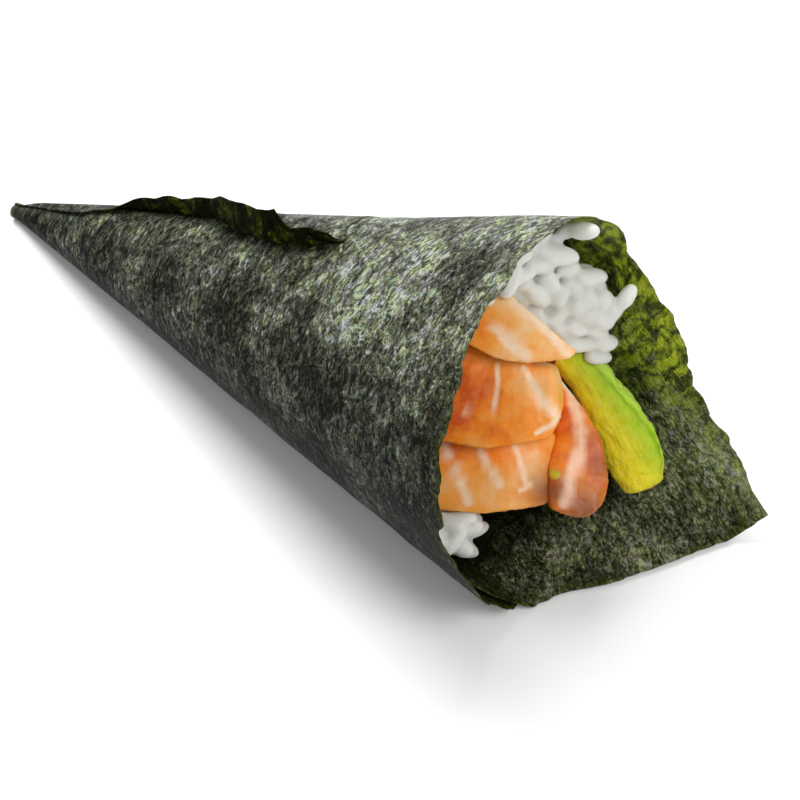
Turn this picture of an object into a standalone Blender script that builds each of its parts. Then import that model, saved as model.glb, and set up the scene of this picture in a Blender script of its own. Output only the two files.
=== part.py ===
# A temaki hand roll lying on its side: one sheet of nori rolled to a cone round
# rice, four slices of salmon and one slice of avocado.
# Sizes are millimetres; finished vertices are written in metres, +Z up.
# Stations along the cone start at the tip. A place inside the roll is given as
# (along the cone axis, across towards +Y, up from the axis).
# An azimuth round the roll is in degrees: 0 is +Y, 90 the top, 180 is -Y, 270 the floor.

import math
import random
import bmesh
import bpy
import numpy as np

# Cone and sheet
HALF_ANGLE = 14.1
AXIS_TILT = 14.45
SHEET_THICKNESS = 0.4
LAYER_PITCH = 0.7
TIP_RADIUS = 0.45
TIP_LENGTH = 1.3
FLOOR_SINK = 0.06
OVAL_COS = (-0.091, -0.027)
OVAL_SIN = (0.106, 0.060)

# Corners of the sheet: azimuth along the roll and distance from the tip
SHEET_START = (-155.0, 102.5)
SHEET_CORNER = (-59.0, 136.0)
SHEET_NEAR = (197.0, 112.3)
SHEET_LOW = (253.0, 109.3)
SHEET_END = (453.0, 71.5)
SHEET_STEP = 8.0
SHEET_ROWS = 11

# Loose end of the sheet, standing off the top of the roll.
# The fold wanders round the roll and the height changes along it: distance from the tip, value.
LOOSE_FROM = 429.0
LOOSE_BEND = 78.0
LOOSE_REACH = (21.0, 26.5)
LOOSE_FOLD = [(22, -14), (29, -12), (35, -8), (43, -6), (51, 4), (59, 10), (64, 10), (72, 6)]
LOOSE_HEIGHT = [(22, 2.5), (27, 4.2), (43, 6.0), (51, 7.2), (57, 8.0), (61, 4.4), (67, 3.8), (72, 2.0)]

# Unevenness of the sheet
WAVE_HEIGHT = 0.3
RIM_WEAR = 0.5
TOP_RISE = 1.5
TOP_RISE_AT = (48.0, 14.0)
TOP_RISE_REACH = (72.0, 112.0)

# How far the open edge stands out from a straight cut: azimuth, distance
RIM_BUMPS = [
    (-155, 0.0), (-122, 0.8), (-107, -0.2), (-95, 0.9), (-77, 1.3), (-70, 1.0), (-59, 0.0),
    (-54, -0.8), (-47, 0.0), (-38, 0.7), (-35, -0.4), (-29, 0.1), (-22, 0.1), (-17, 1.0),
    (-10, 1.9), (2, 2.1), (7, 0.6), (13, 0.1), (23, -0.6), (28, 0.2), (32, 1.2), (37, 2.0),
    (42, 0.8), (52, 0.5), (66, 0.0), (375, 0.0), (390, -2.5), (410, -2.5), (430, 0.0),
]

# Rice
RICE_BACK = 22.0
RICE_FRONT = 94.0
RICE_UPPER_RISE = 5.5
RICE_LOWER_DROP = 10.0
RICE_WALL_GAP = 0.45
GRAIN_WALL_GAP = 0.4
GRAIN_LENGTH = 5.8
GRAIN_WIDTH = 2.9
GRAIN_SPACING = 3.7
GRAIN_SEED = 14
DEEP_SPACING = 9.0
FILLING_GAP = 0.32

# Lumps on the face of the rice: place across and up, spread, rise
RICE_LUMPS = [
    (20.5, 4.5, 6.0, 7.6),
    (-17.5, -11.5, 4.5, 6.6),
]

# Far side of the rice, where it falls back from the sheet: up from the axis, across
RICE_SIDE = [
    (-8, 12.5), (-6, 13.6), (-2, 15.0), (1, 16.5), (4, 17.8), (7, 19.4), (10, 20.2),
    (13, 19.0), (16, 17.8), (19, 17.2), (23, 16.5), (28, 13.0),
]
RICE_SIDE_DROP = 11.0

# Grains that stand out from the heap: the two ends of each
KEY_GRAINS = [
    ((101.5, 21.1, 21.2), (106.5, 22.2, 22.1)),
    ((99.5, 20.9, 19.6), (102.5, 21.8, 21.6)),
    ((97.5, 18.2, 18.9), (100.8, 19.9, 20.1)),
    ((100.7, 15.5, 20.9), (102.8, 20.3, 16.3)),
    ((102.9, 18.5, 13.6), (105.0, 23.1, 10.1)),
    ((107.9, 20.6, 6.5), (108.7, 24.7, 8.2)),
    ((105.9, 21.6, 8.8), (106.4, 18.2, 7.2)),
    ((105.7, 17.1, 7.6), (107.5, 19.1, 4.1)),
    ((105.6, 15.8, 2.5), (107.0, 19.6, -0.7)),
    ((104.8, 14.2, 0.6), (106.5, 17.9, -3.0)),
    ((105.1, 15.6, 6.0), (106.0, 18.7, 1.6)),
    ((97.5, -16.3, -8.3), (101.0, -13.9, -8.7)),
    ((98.0, -16.5, -11.6), (101.5, -13.6, -10.6)),
    ((98.0, -18.0, -12.6), (101.0, -16.9, -14.3)),
]

# Fillings: centre, way the broad face looks, width and thickness, from back to front
SALMON_TOP = [
    ((55.0, 1.0, 8.2), (0.1, -0.2, 1.0), 7.0, 3.0),
    ((72.0, 1.8, 15.0), (0.15, -0.3, 0.95), 9.0, 3.2),
    ((84.0, 2.8, 18.6), (0.2, -0.35, 0.9), 10.0, 3.5),
    ((91.3, 3.7, 17.3), (0.4, -0.4, 0.8), 11.2, 3.5),
    ((98.0, 4.8, 15.2), (0.55, -0.5, 0.65), 10.0, 3.5),
    ((103.0, 6.6, 12.0), (0.55, -0.5, 0.65), 6.8, 3.2),
    ((106.8, 8.3, 9.9), (0.5, -0.5, 0.7), 3.2, 2.6),
]
SALMON_MIDDLE = [
    ((52.0, -0.6, 2.8), (0.1, -0.2, 1.0), 8.0, 4.6),
    ((70.0, -2.6, 6.2), (0.15, -0.3, 0.95), 9.5, 6.5),
    ((83.3, -3.9, 6.4), (0.2, -0.3, 0.93), 10.5, 7.5),
    ((90.6, -3.0, 4.8), (0.49, -0.42, 0.76), 14.0, 8.0),
    ((96.9, -0.9, 2.3), (0.49, -0.42, 0.76), 14.2, 8.5),
    ((102.2, 2.0, 1.5), (0.49, -0.42, 0.76), 12.6, 8.5),
    ((105.6, 4.0, 1.6), (0.49, -0.42, 0.76), 9.6, 7.0),
]
SALMON_LOWER = [
    ((54.0, -2.8, -3.2), (0.1, -0.3, 0.95), 8.0, 3.8),
    ((70.0, -7.0, -2.6), (0.15, -0.35, 0.92), 9.5, 4.6),
    ((83.5, -10.2, -1.8), (0.2, -0.4, 0.9), 11.0, 5.0),
    ((91.3, -10.8, -3.4), (0.49, -0.42, 0.76), 12.5, 5.0),
    ((97.2, -8.8, -5.8), (0.49, -0.42, 0.76), 13.0, 5.5),
    ((102.4, -5.2, -6.8), (0.49, -0.42, 0.76), 11.4, 5.5),
    ((105.8, -1.2, -8.0), (0.49, -0.42, 0.76), 8.0, 4.5),
]
SALMON_RIGHT = [
    ((58.0, 5.6, -2.6), (0.1, 0.1, 1.0), 5.0, 4.0),
    ((76.0, 6.0, 0.8), (0.15, -0.1, 0.97), 6.0, 4.4),
    ((89.5, 7.4, 3.2), (0.2, -0.2, 0.95), 6.6, 4.5),
    ((97.5, 10.0, 1.6), (0.4, -0.32, 0.85), 6.0, 4.5),
    ((103.3, 9.9, -3.2), (0.56, -0.4, 0.73), 5.8, 4.5),
    ((107.8, 5.4, -6.2), (0.56, -0.4, 0.73), 7.4, 4.5),
    ((110.5, -0.4, -9.3), (0.56, -0.4, 0.73), 9.8, 4.5),
    ((112.4, -4.6, -11.8), (0.56, -0.4, 0.73), 7.6, 4.0),
]
AVOCADO = [
    ((56.0, 7.4, 3.4), (0.1, 0.3, 0.95), 5.6, 4.4),
    ((74.0, 11.0, 5.6), (0.15, 0.1, 0.98), 7.0, 5.4),
    ((89.4, 13.4, 4.4), (0.2, -0.1, 0.97), 8.0, 6.0),
    ((98.0, 14.6, 1.4), (0.4, -0.3, 0.86), 7.0, 6.0),
    ((103.7, 14.3, -4.2), (0.51, -0.43, 0.75), 7.0, 6.0),
    ((108.9, 12.6, -10.7), (0.51, -0.43, 0.75), 9.0, 6.5),
    ((113.2, 10.4, -15.1), (0.51, -0.43, 0.75), 9.4, 6.5),
    ((115.6, 8.2, -18.2), (0.51, -0.43, 0.75), 7.2, 5.5),
]
STRIP_STEPS = 17
STRIP_SIDES = 12

# Colour, roughness
NORI_LOOK = ((0.030, 0.040, 0.026, 1.0), 0.5)
RICE_LOOK = ((0.80, 0.80, 0.76, 1.0), 0.4)
SALMON_LOOK = ((0.90, 0.30, 0.08, 1.0), 0.35)
AVOCADO_LOOK = ((0.58, 0.62, 0.05, 1.0), 0.45)

HALF = math.radians(HALF_ANGLE)
TILT = math.radians(AXIS_TILT)
TURNS_BELOW = (270.0 - SHEET_START[0]) / 360.0
AXIS_LIFT = TIP_RADIUS + LAYER_PITCH * TURNS_BELOW + SHEET_THICKNESS / 2


def ramp(value, low, high):
    t = min(1.0, max(0.0, (value - low) / (high - low)))
    return t * t * (3.0 - 2.0 * t)


def along_table(value, rows):
    return float(np.interp(value, [row[0] for row in rows], [row[1] for row in rows]))


def oval(azimuth):
    a = math.radians(azimuth)
    out = 1.0
    for n in range(2):
        out += OVAL_COS[n] * math.cos((n + 2) * a)
        out += OVAL_SIN[n] * math.sin((n + 2) * a)
    return out


def wave(azimuth, reach):
    a = math.radians(azimuth)
    rise = ramp(reach, 15.0, 90.0)
    near_rim = 0.4 + 0.6 * ramp(reach, 70.0, 120.0)
    out = 0.6 * math.sin(3 * a + 0.055 * reach + 0.6)
    out += 0.4 * math.sin(7 * a - 0.08 * reach + 2.1) * near_rim
    turn = (azimuth + 180.0) % 360.0 - 180.0
    top = math.exp(-((turn - TOP_RISE_AT[0]) / TOP_RISE_AT[1]) ** 2)
    return WAVE_HEIGHT * rise * out + TOP_RISE * top * ramp(reach, *TOP_RISE_REACH)


def to_world(along, across, up):
    x = along * math.cos(TILT) - up * math.sin(TILT)
    z = along * math.sin(TILT) + up * math.cos(TILT)
    z += AXIS_LIFT - FLOOR_SINK * along * math.tan(HALF)
    return (x, across, z)


def cut_edge(azimuth, first, second):
    span = math.radians(second[0] - first[0]) * math.sin(HALF)
    t = math.radians(azimuth - first[0]) * math.sin(HALF)
    low = first[1] * math.sin(t) + second[1] * math.sin(span - t)
    return first[1] * second[1] * math.sin(span) / low


def rim(azimuth):
    corners = [SHEET_START, SHEET_CORNER, SHEET_NEAR, SHEET_LOW, SHEET_END]
    out = 0.0
    for first, second in zip(corners, corners[1:]):
        if azimuth >= first[0] - 1e-6:
            out = cut_edge(azimuth, first, second)
    a = math.radians(azimuth)
    wear = math.sin(9.3 * a + 0.4) + 0.7 * math.sin(21.7 * a + 1.9)
    keep = 1.0
    for corner in (SHEET_CORNER, SHEET_NEAR, SHEET_LOW):
        keep = min(keep, abs(azimuth - corner[0]) / 14.0)
    keep *= ramp(azimuth, 60.0, 80.0)
    return out + RIM_WEAR * wear * keep + along_table(azimuth, RIM_BUMPS)


def layer(azimuth):
    return LAYER_PITCH * (azimuth - SHEET_START[0]) / 360.0


def loose_length(reach):
    natural = math.radians(SHEET_END[0] - LOOSE_FROM) * reach * math.sin(HALF)
    k = ramp(reach, LOOSE_REACH[0], LOOSE_REACH[1])
    wear = 0.3 * math.sin(0.42 * reach) + 0.2 * math.sin(0.95 * reach + 1.0)
    return natural * (1 - k) + (along_table(reach, LOOSE_HEIGHT) + wear) * k


def loose_bend(reach):
    return ramp(reach, LOOSE_REACH[0], LOOSE_REACH[1]) * LOOSE_BEND


def section_point(reach, azimuth, side):
    shift = along_table(reach, LOOSE_FOLD) * ramp(reach, 12.0, 22.0)
    base = min(azimuth, LOOSE_FROM)
    base += shift * ramp(base, LOOSE_FROM - 40.0, LOOSE_FROM)
    a = math.radians(base)
    cone = max(0.0, reach)
    r = TIP_RADIUS + cone * math.sin(HALF) * oval(base) + layer(base) + wave(base, reach)
    tangent = (-math.sin(a), math.cos(a))
    normal = (math.cos(a), math.sin(a))
    across = r * normal[0]
    up = r * normal[1]
    out = normal
    if azimuth > LOOSE_FROM:
        share = (azimuth - LOOSE_FROM) / (SHEET_END[0] - LOOSE_FROM)
        steps = 4
        length = loose_length(reach) * share
        for i in range(steps):
            t = (i + 1) / steps * share
            bend = math.radians(loose_bend(reach)) * min(1.0, 1.6 * t)
            across += length / steps * (math.cos(bend) * tangent[0] + math.sin(bend) * normal[0])
            up += length / steps * (math.cos(bend) * tangent[1] + math.sin(bend) * normal[1])
            out = (math.cos(bend) * normal[0] - math.sin(bend) * tangent[0],
                   math.cos(bend) * normal[1] - math.sin(bend) * tangent[1])
    half = side * SHEET_THICKNESS / 2
    return across + out[0] * half, up + out[1] * half


def sheet_point(reach, azimuth, side):
    across, up = section_point(reach, azimuth, side)
    x, y, z = to_world(reach * math.cos(HALF), across, up)
    floor = SHEET_THICKNESS * (1 - side) / 2
    if azimuth < 90.0:
        floor += LAYER_PITCH
    return (x, y, max(z, floor))


def sheet_mesh():
    turns = int(round((LOOSE_FROM - SHEET_START[0]) / SHEET_STEP))
    columns = [SHEET_START[0] + SHEET_STEP * i for i in range(turns + 1)]
    loose = 4
    for i in range(1, loose + 1):
        columns.append(LOOSE_FROM + (SHEET_END[0] - LOOSE_FROM) * i / loose)
    verts = []
    for side in (1, -1):
        for azimuth in columns:
            for row in range(SHEET_ROWS + 1):
                share = row / SHEET_ROWS
                share = share * (1.12 - 0.12 * share)
                reach = rim(azimuth) * share - TIP_LENGTH * (1.0 - share) ** 8
                verts.append(sheet_point(reach, azimuth, side))
    rows = SHEET_ROWS + 1
    count = len(columns) * rows

    def at(column, row, side):
        return column * rows + row + (count if side < 0 else 0)

    faces = []
    for c in range(len(columns) - 1):
        for r in range(SHEET_ROWS):
            for side in (1, -1):
                p = [at(c, r, side), at(c, r + 1, side), at(c + 1, r + 1, side), at(c + 1, r, side)]
                tris = [(p[0], p[1], p[2]), (p[0], p[2], p[3])]
                for t in tris:
                    faces.append(t if side > 0 else t[::-1])
    loop = [(c, 0) for c in range(len(columns))]
    loop += [(len(columns) - 1, r) for r in range(1, rows)]
    loop += [(c, rows - 1) for c in range(len(columns) - 2, -1, -1)]
    loop += [(0, r) for r in range(rows - 2, 0, -1)]
    for (c0, r0), (c1, r1) in zip(loop, loop[1:] + loop[:1]):
        a, b = at(c0, r0, 1), at(c1, r1, 1)
        c, d = at(c1, r1, -1), at(c0, r0, -1)
        faces.append((a, b, c))
        faces.append((a, c, d))
    return verts, faces


def inner_radius(along, azimuth):
    reach = along / math.cos(HALF)
    turn = azimuth
    while turn >= SHEET_START[0] + 360.0:
        turn -= 360.0
    while turn < SHEET_START[0]:
        turn += 360.0
    r = TIP_RADIUS + reach * math.sin(HALF) * oval(turn) + layer(turn) + wave(turn, reach)
    if turn > SHEET_START[0] + 350.0:
        r = min(r, TIP_RADIUS + reach * math.sin(HALF) * oval(turn) + wave(turn, reach))
    r -= SHEET_THICKNESS / 2
    return r


def floor_radius(along, azimuth, gap):
    s = math.sin(math.radians(azimuth))
    if s >= -0.2:
        return 1e9
    z0 = to_world(along, 0.0, 0.0)[2]
    clear = z0 - (LAYER_PITCH * 1.2 + SHEET_THICKNESS + gap)
    return clear / (-s * math.cos(TILT))


def room(along, azimuth, gap):
    return min(inner_radius(along, azimuth) - gap, floor_radius(along, azimuth, gap))


def rice_front(across, up):
    level = -0.63 * across + 0.776 * up
    edge = -5.0 - 0.45 * max(0.0, across)
    out = RICE_FRONT
    out += RICE_UPPER_RISE * ramp(across, 2.0, 8.0) * ramp(level - edge, 0.0, 4.0)
    out -= RICE_LOWER_DROP * (1.0 - ramp(level - edge, -6.0, 0.0))
    for y, u, spread, rise in RICE_LUMPS:
        out += rise * math.exp(-((across - y) ** 2 + (up - u) ** 2) / (2 * spread * spread))
    return out - RICE_SIDE_DROP * ramp(across - along_table(up, RICE_SIDE), 1.0, 4.5)


def rice_core_mesh():
    columns = 36
    backs = 6
    fronts = 8
    rings = []
    for i in range(backs):
        ring = []
        for c in range(columns):
            az = 360.0 * c / columns
            s = RICE_BACK
            for attempt in range(6):
                r = room(s, az, RICE_WALL_GAP)
                a = math.radians(az)
                end = rice_front(r * math.cos(a), r * math.sin(a)) - 1.4
                s = RICE_BACK + (end - RICE_BACK) * i / (backs - 1)
            r = room(s, az, RICE_WALL_GAP)
            ring.append((s, r * math.cos(math.radians(az)), r * math.sin(math.radians(az))))
        rings.append(ring)
    for i in range(1, fronts):
        k = 1.0 - i / fronts
        ring = []
        for c in range(columns):
            edge = rings[backs - 1][c]
            y, u = edge[1] * k, edge[2] * k
            ring.append((rice_front(y, u) - 0.8, y, u))
        rings.append(ring)
    verts = [to_world(*p) for ring in rings for p in ring]
    faces = []
    for i in range(len(rings) - 1):
        for c in range(columns):
            d = (c + 1) % columns
            p = (i * columns + c, i * columns + d, (i + 1) * columns + d, (i + 1) * columns + c)
            faces.append((p[0], p[1], p[2]))
            faces.append((p[0], p[2], p[3]))
    verts.append(to_world(RICE_BACK, 0.0, 0.0))
    verts.append(to_world(rice_front(0.0, 0.0) - 0.8, 0.0, 0.0))
    last = (len(rings) - 1) * columns
    for c in range(columns):
        d = (c + 1) % columns
        faces.append((d, c, len(verts) - 2))
        faces.append((last + c, last + d, len(verts) - 1))
    return verts, faces


def smooth_path(rows, steps):
    rows = np.array(rows, float)
    ends = [2 * rows[0] - rows[1]]
    tail = [2 * rows[-1] - rows[-2]]
    p = np.vstack([ends, rows, tail])
    out = []
    for t in np.linspace(0, len(rows) - 1, steps):
        i = min(int(t), len(rows) - 2)
        f = t - i
        a, b, c, d = p[i], p[i + 1], p[i + 2], p[i + 3]
        q = 2 * b + (c - a) * f
        q = q + (2 * a - 5 * b + 4 * c - d) * f * f
        q = q + (3 * b - a - 3 * c + d) * f ** 3
        out.append(0.5 * q)
    return np.array(out)


def strip_rings(stations, grow):
    rows = [list(c) + list(f) + [w, t] for c, f, w, t in stations]
    path = smooth_path(rows, STRIP_STEPS)
    centre = path[:, :3]
    along = np.gradient(centre, axis=0)
    along /= np.linalg.norm(along, axis=1)[:, None]
    face = path[:, 3:6]
    face = face - (face * along).sum(1)[:, None] * along
    face /= np.linalg.norm(face, axis=1)[:, None]
    side = np.cross(along, face)
    turn = np.arange(STRIP_SIDES) * 2 * math.pi / STRIP_SIDES + math.pi / STRIP_SIDES
    power = 2 / 3.0
    ca = np.sign(np.cos(turn)) * np.abs(np.cos(turn)) ** power
    sa = np.sign(np.sin(turn)) * np.abs(np.sin(turn)) ** power
    plan = [(0, -1.2 - grow, 0.5)]
    plan += [(i, 0.0, 1.0) for i in range(STRIP_STEPS)]
    plan += [(STRIP_STEPS - 1, 0.9 + grow, 0.8), (STRIP_STEPS - 1, 1.3 + grow, 0.45)]
    rings = []
    for i, push, share in plan:
        w = path[i, 6] / 2 * share + grow
        t = path[i, 7] / 2 * share + grow
        ring = centre[i] + along[i] * push
        ring = ring + side[i] * (ca * w)[:, None] + face[i] * (sa * t)[:, None]
        rings.append(ring)
    return rings


def strip_mesh(stations, grow=0.0):
    rings = strip_rings(stations, grow)
    verts = [to_world(*p) for ring in rings for p in ring]
    n = STRIP_SIDES
    faces = []
    for i in range(len(rings) - 1):
        for c in range(n):
            d = (c + 1) % n
            faces.append((i * n + c, i * n + d, (i + 1) * n + d))
            faces.append((i * n + c, (i + 1) * n + d, (i + 1) * n + c))
    for i, flip in ((0, True), (len(rings) - 1, False)):
        verts.append(tuple(np.mean(verts[i * n:(i + 1) * n], axis=0)))
        for c in range(n):
            d = (c + 1) % n
            tri = (i * n + c, i * n + d, len(verts) - 1)
            faces.append(tri[::-1] if flip else tri)
    return verts, faces


def grain_mesh(centre, direction, length, width):
    d = np.array(direction, float)
    d /= np.linalg.norm(d)
    helper = np.array((0.0, 0.0, 1.0)) if abs(d[2]) < 0.8 else np.array((1.0, 0.0, 0.0))
    u = np.cross(d, helper)
    u /= np.linalg.norm(u)
    v = np.cross(d, u)
    n = 5
    verts = []
    for along, share in ((-0.37, 0.74), (0.0, 1.0), (0.37, 0.72)):
        for i in range(n):
            a = 2 * math.pi * (i + (0.5 if along == 0.0 else 0.0)) / n
            q = centre + d * along * length
            q = q + (u * math.cos(a) + v * math.sin(a)) * share * width / 2
            verts.append(tuple(q))
    verts.append(tuple(centre - d * length / 2))
    verts.append(tuple(centre + d * length / 2))
    faces = []
    for ring in range(2):
        for i in range(n):
            j = (i + 1) % n
            a, b = ring * n + i, ring * n + j
            c, e = (ring + 1) * n + j, (ring + 1) * n + i
            faces.append((a, b, c))
            faces.append((a, c, e))
    for i in range(n):
        j = (i + 1) % n
        faces.append((j, i, 3 * n))
        faces.append((2 * n + i, 2 * n + j, 3 * n + 1))
    return verts, faces


def make_material(name, look):
    mat = bpy.data.materials.new(name)
    mat.use_nodes = True
    shader = mat.node_tree.nodes["Principled BSDF"]
    shader.inputs["Base Color"].default_value = look[0]
    shader.inputs["Roughness"].default_value = look[1]
    shader.inputs["Metallic"].default_value = 0.0
    return mat


def make_object(name, mesh_data, material=None):
    verts, faces = mesh_data
    mesh = bpy.data.meshes.new(name)
    mesh.from_pydata([tuple(c * 0.001 for c in v) for v in verts], [], faces)
    bm = bmesh.new()
    bm.from_mesh(mesh)
    bmesh.ops.recalc_face_normals(bm, faces=bm.faces)
    if bm.calc_volume(signed=True) < 0:
        bmesh.ops.reverse_faces(bm, faces=bm.faces)
    bm.to_mesh(mesh)
    bm.free()
    obj = bpy.data.objects.new(name, mesh)
    bpy.context.scene.collection.objects.link(obj)
    if material is not None:
        mesh.materials.append(material)
    return obj


def bake(obj):
    deps = bpy.context.evaluated_depsgraph_get()
    mesh = bpy.data.meshes.new_from_object(obj.evaluated_get(deps))
    obj.modifiers.clear()
    old = obj.data
    obj.data = mesh
    bpy.data.meshes.remove(old)


def remove_object(obj):
    mesh = obj.data
    bpy.data.objects.remove(obj)
    bpy.data.meshes.remove(mesh)


def combine(obj, tools, operation, solver):
    group = bpy.data.collections.new(obj.name + "_tools")
    for tool in tools:
        group.objects.link(tool)
        tool.hide_render = True
        tool.display_type = "WIRE"
    bpy.context.scene.collection.children.link(group)
    mod = obj.modifiers.new("cut", "BOOLEAN")
    mod.operation = operation
    mod.solver = solver
    mod.operand_type = "COLLECTION"
    mod.collection = group
    bake(obj)
    bpy.data.collections.remove(group)
    for tool in tools:
        remove_object(tool)


def is_closed(bm):
    return all(len(edge.link_faces) == 2 for edge in bm.edges)


def keep_largest(bm):
    left = set(bm.verts)
    groups = []
    while left:
        stack = [left.pop()]
        group = set(stack)
        while stack:
            for edge in stack.pop().link_edges:
                for other in edge.verts:
                    if other in left:
                        left.discard(other)
                        group.add(other)
                        stack.append(other)
        groups.append(group)
    groups.sort(key=len, reverse=True)
    for group in groups[1:]:
        bmesh.ops.delete(bm, geom=list(group), context="VERTS")


def tidy(obj):
    # The widest merge that leaves the surface closed
    for merge in (0.00003, 0.00001, 0.000003, 0.000001, 0.0):
        bm = bmesh.new()
        bm.from_mesh(obj.data)
        if merge > 0.0:
            bmesh.ops.remove_doubles(bm, verts=bm.verts, dist=merge)
            bmesh.ops.dissolve_degenerate(bm, edges=bm.edges, dist=merge)
        bmesh.ops.triangulate(bm, faces=bm.faces)
        keep_largest(bm)
        if is_closed(bm) or merge == 0.0:
            bmesh.ops.recalc_face_normals(bm, faces=bm.faces)
            bm.to_mesh(obj.data)
            bm.free()
            return
        bm.free()


def face_normal(across, up):
    slope_y = (rice_front(across + 0.5, up) - rice_front(across - 0.5, up))
    slope_u = (rice_front(across, up + 0.5) - rice_front(across, up - 0.5))
    n = np.array((1.0, -slope_y, -slope_u))
    return n / np.linalg.norm(n)


def grain_places():
    rng = random.Random(GRAIN_SEED)
    places = []
    for first, second in KEY_GRAINS:
        p, q = np.array(first), np.array(second)
        length = np.linalg.norm(q - p)
        places.append(((p + q) / 2, (q - p) / length, length / GRAIN_LENGTH))
    tries = 0
    while tries < 9000:
        tries += 1
        az = rng.uniform(0.0, 360.0)
        limit = room(RICE_FRONT + 4.0, az, RICE_WALL_GAP)
        r = limit * math.sqrt(rng.uniform(0.0, 1.0))
        y = r * math.cos(math.radians(az))
        u = r * math.sin(math.radians(az))
        s = rice_front(y, u) + rng.uniform(-0.2, 0.9)
        p = np.array((s, y, u))
        spacing = GRAIN_SPACING if y > 3.0 and u > -6.0 or s > 96.0 else DEEP_SPACING
        if all(np.linalg.norm(p - q[0]) > spacing for q in places):
            spin = rng.uniform(0.0, 2 * math.pi)
            out = face_normal(y, u)
            d = np.array((rng.uniform(-0.3, 0.3), math.cos(spin), math.sin(spin)))
            d = d - d.dot(out) * out
            d = d / np.linalg.norm(d) + rng.uniform(-0.1, 0.45) * out
            places.append((p, d / np.linalg.norm(d), rng.uniform(0.92, 1.08)))
    return places


def fits_wall(points):
    for s, y, u in points:
        az = math.degrees(math.atan2(u, y)) % 360.0
        if math.hypot(y, u) > room(s, az, GRAIN_WALL_GAP):
            return False
    return True


def near_filling(point, spines):
    for centre, face, width, thick in spines:
        d = point - centre
        if np.linalg.norm(d) < 0.5 * thick + 0.4:
            return True
    return False


def filling_spines():
    out = []
    for stations in (SALMON_TOP, SALMON_MIDDLE, SALMON_LOWER, SALMON_RIGHT, AVOCADO):
        rows = [list(c) + list(f) + [w, t] for c, f, w, t in stations]
        for row in smooth_path(rows, 40):
            out.append((row[:3], row[3:6], row[6], row[7]))
    return out


def build():
    for obj in list(bpy.data.objects):
        bpy.data.objects.remove(obj)

    nori = make_material("nori", NORI_LOOK)
    rice = make_material("rice", RICE_LOOK)
    salmon = make_material("salmon", SALMON_LOOK)
    avocado = make_material("avocado", AVOCADO_LOOK)

    parts = [make_object("nori", sheet_mesh(), nori)]

    # Each filling is pressed in by those that lie on it
    order = [
        ("salmon_top", SALMON_TOP, salmon),
        ("salmon_middle", SALMON_MIDDLE, salmon),
        ("salmon_lower", SALMON_LOWER, salmon),
        ("salmon_right", SALMON_RIGHT, salmon),
        ("avocado", AVOCADO, avocado),
    ]
    for i, (name, stations, material) in enumerate(order):
        obj = make_object(name, strip_mesh(stations), material)
        cutters = []
        for j in range(i):
            cutters.append(make_object("cut_" + order[j][0], strip_mesh(order[j][1], FILLING_GAP)))
        for cutter in cutters:
            combine(obj, [cutter], "DIFFERENCE", "MANIFOLD")
        tidy(obj)
        parts.append(obj)

    # Rice: a core with the grains of its open face fused on
    heap = make_object("rice", rice_core_mesh(), rice)
    spines = filling_spines()
    grains = []
    for i, (p, d, size) in enumerate(grain_places()):
        if near_filling(p, spines):
            continue
        length = GRAIN_LENGTH * size
        flat = np.array((0.0, p[1], p[2])) / max(1e-6, math.hypot(p[1], p[2]))
        for attempt in range(12):
            mesh = grain_mesh(p, d, length, GRAIN_WIDTH * size)
            if fits_wall(mesh[0]):
                break
            p = p - flat * 0.5
        else:
            continue
        grains.append(make_object("grain", ([to_world(*v) for v in mesh[0]], mesh[1])))
    combine(heap, grains, "UNION", "MANIFOLD")
    for name, stations, material in order:
        cutter = make_object("cut_" + name, strip_mesh(stations, FILLING_GAP))
        combine(heap, [cutter], "DIFFERENCE", "MANIFOLD")
    tidy(heap)
    parts.append(heap)

    low = np.array([1e9] * 3)
    high = np.array([-1e9] * 3)
    for obj in parts:
        for v in obj.data.vertices:
            low = np.minimum(low, v.co)
            high = np.maximum(high, v.co)
    shift = ((low + high) / 2)[:2]
    for obj in parts:
        for v in obj.data.vertices:
            v.co.x -= shift[0]
            v.co.y -= shift[1]
            v.co.z -= low[2]


build()
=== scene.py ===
# A temaki hand roll lying on its side, shown on a plain pale floor.
# Lengths are millimetres unless a comment or a name that ends in _m says metres.
# A place inside the roll is (along the cone axis, across towards +Y, up from the axis),
# and an azimuth round the roll is in degrees: 0 is +Y, 90 the top, 180 is -Y, 270 the floor.

import math

import bpy
import numpy as np
from mathutils import Matrix, Vector, noise
from mathutils.kdtree import KDTree


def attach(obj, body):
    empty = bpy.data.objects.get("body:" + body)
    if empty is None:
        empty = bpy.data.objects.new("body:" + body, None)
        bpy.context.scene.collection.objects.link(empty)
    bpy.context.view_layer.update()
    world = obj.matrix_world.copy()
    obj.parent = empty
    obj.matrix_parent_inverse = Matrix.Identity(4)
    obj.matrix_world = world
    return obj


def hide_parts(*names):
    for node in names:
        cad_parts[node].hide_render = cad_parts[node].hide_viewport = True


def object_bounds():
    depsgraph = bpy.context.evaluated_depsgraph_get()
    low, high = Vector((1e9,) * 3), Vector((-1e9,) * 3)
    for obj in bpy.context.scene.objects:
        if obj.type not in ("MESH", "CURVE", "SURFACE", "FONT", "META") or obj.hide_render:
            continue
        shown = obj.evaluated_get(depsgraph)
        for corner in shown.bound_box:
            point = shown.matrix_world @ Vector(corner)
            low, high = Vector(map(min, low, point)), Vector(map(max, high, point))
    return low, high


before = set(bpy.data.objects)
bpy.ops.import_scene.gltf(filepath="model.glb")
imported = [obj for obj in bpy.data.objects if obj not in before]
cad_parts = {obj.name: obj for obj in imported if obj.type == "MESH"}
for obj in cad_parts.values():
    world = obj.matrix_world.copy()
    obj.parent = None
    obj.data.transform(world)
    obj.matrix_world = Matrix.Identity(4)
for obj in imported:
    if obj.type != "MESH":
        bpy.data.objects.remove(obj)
CAD_BOX = [list(corner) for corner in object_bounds()]
MM = 0.001

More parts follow.
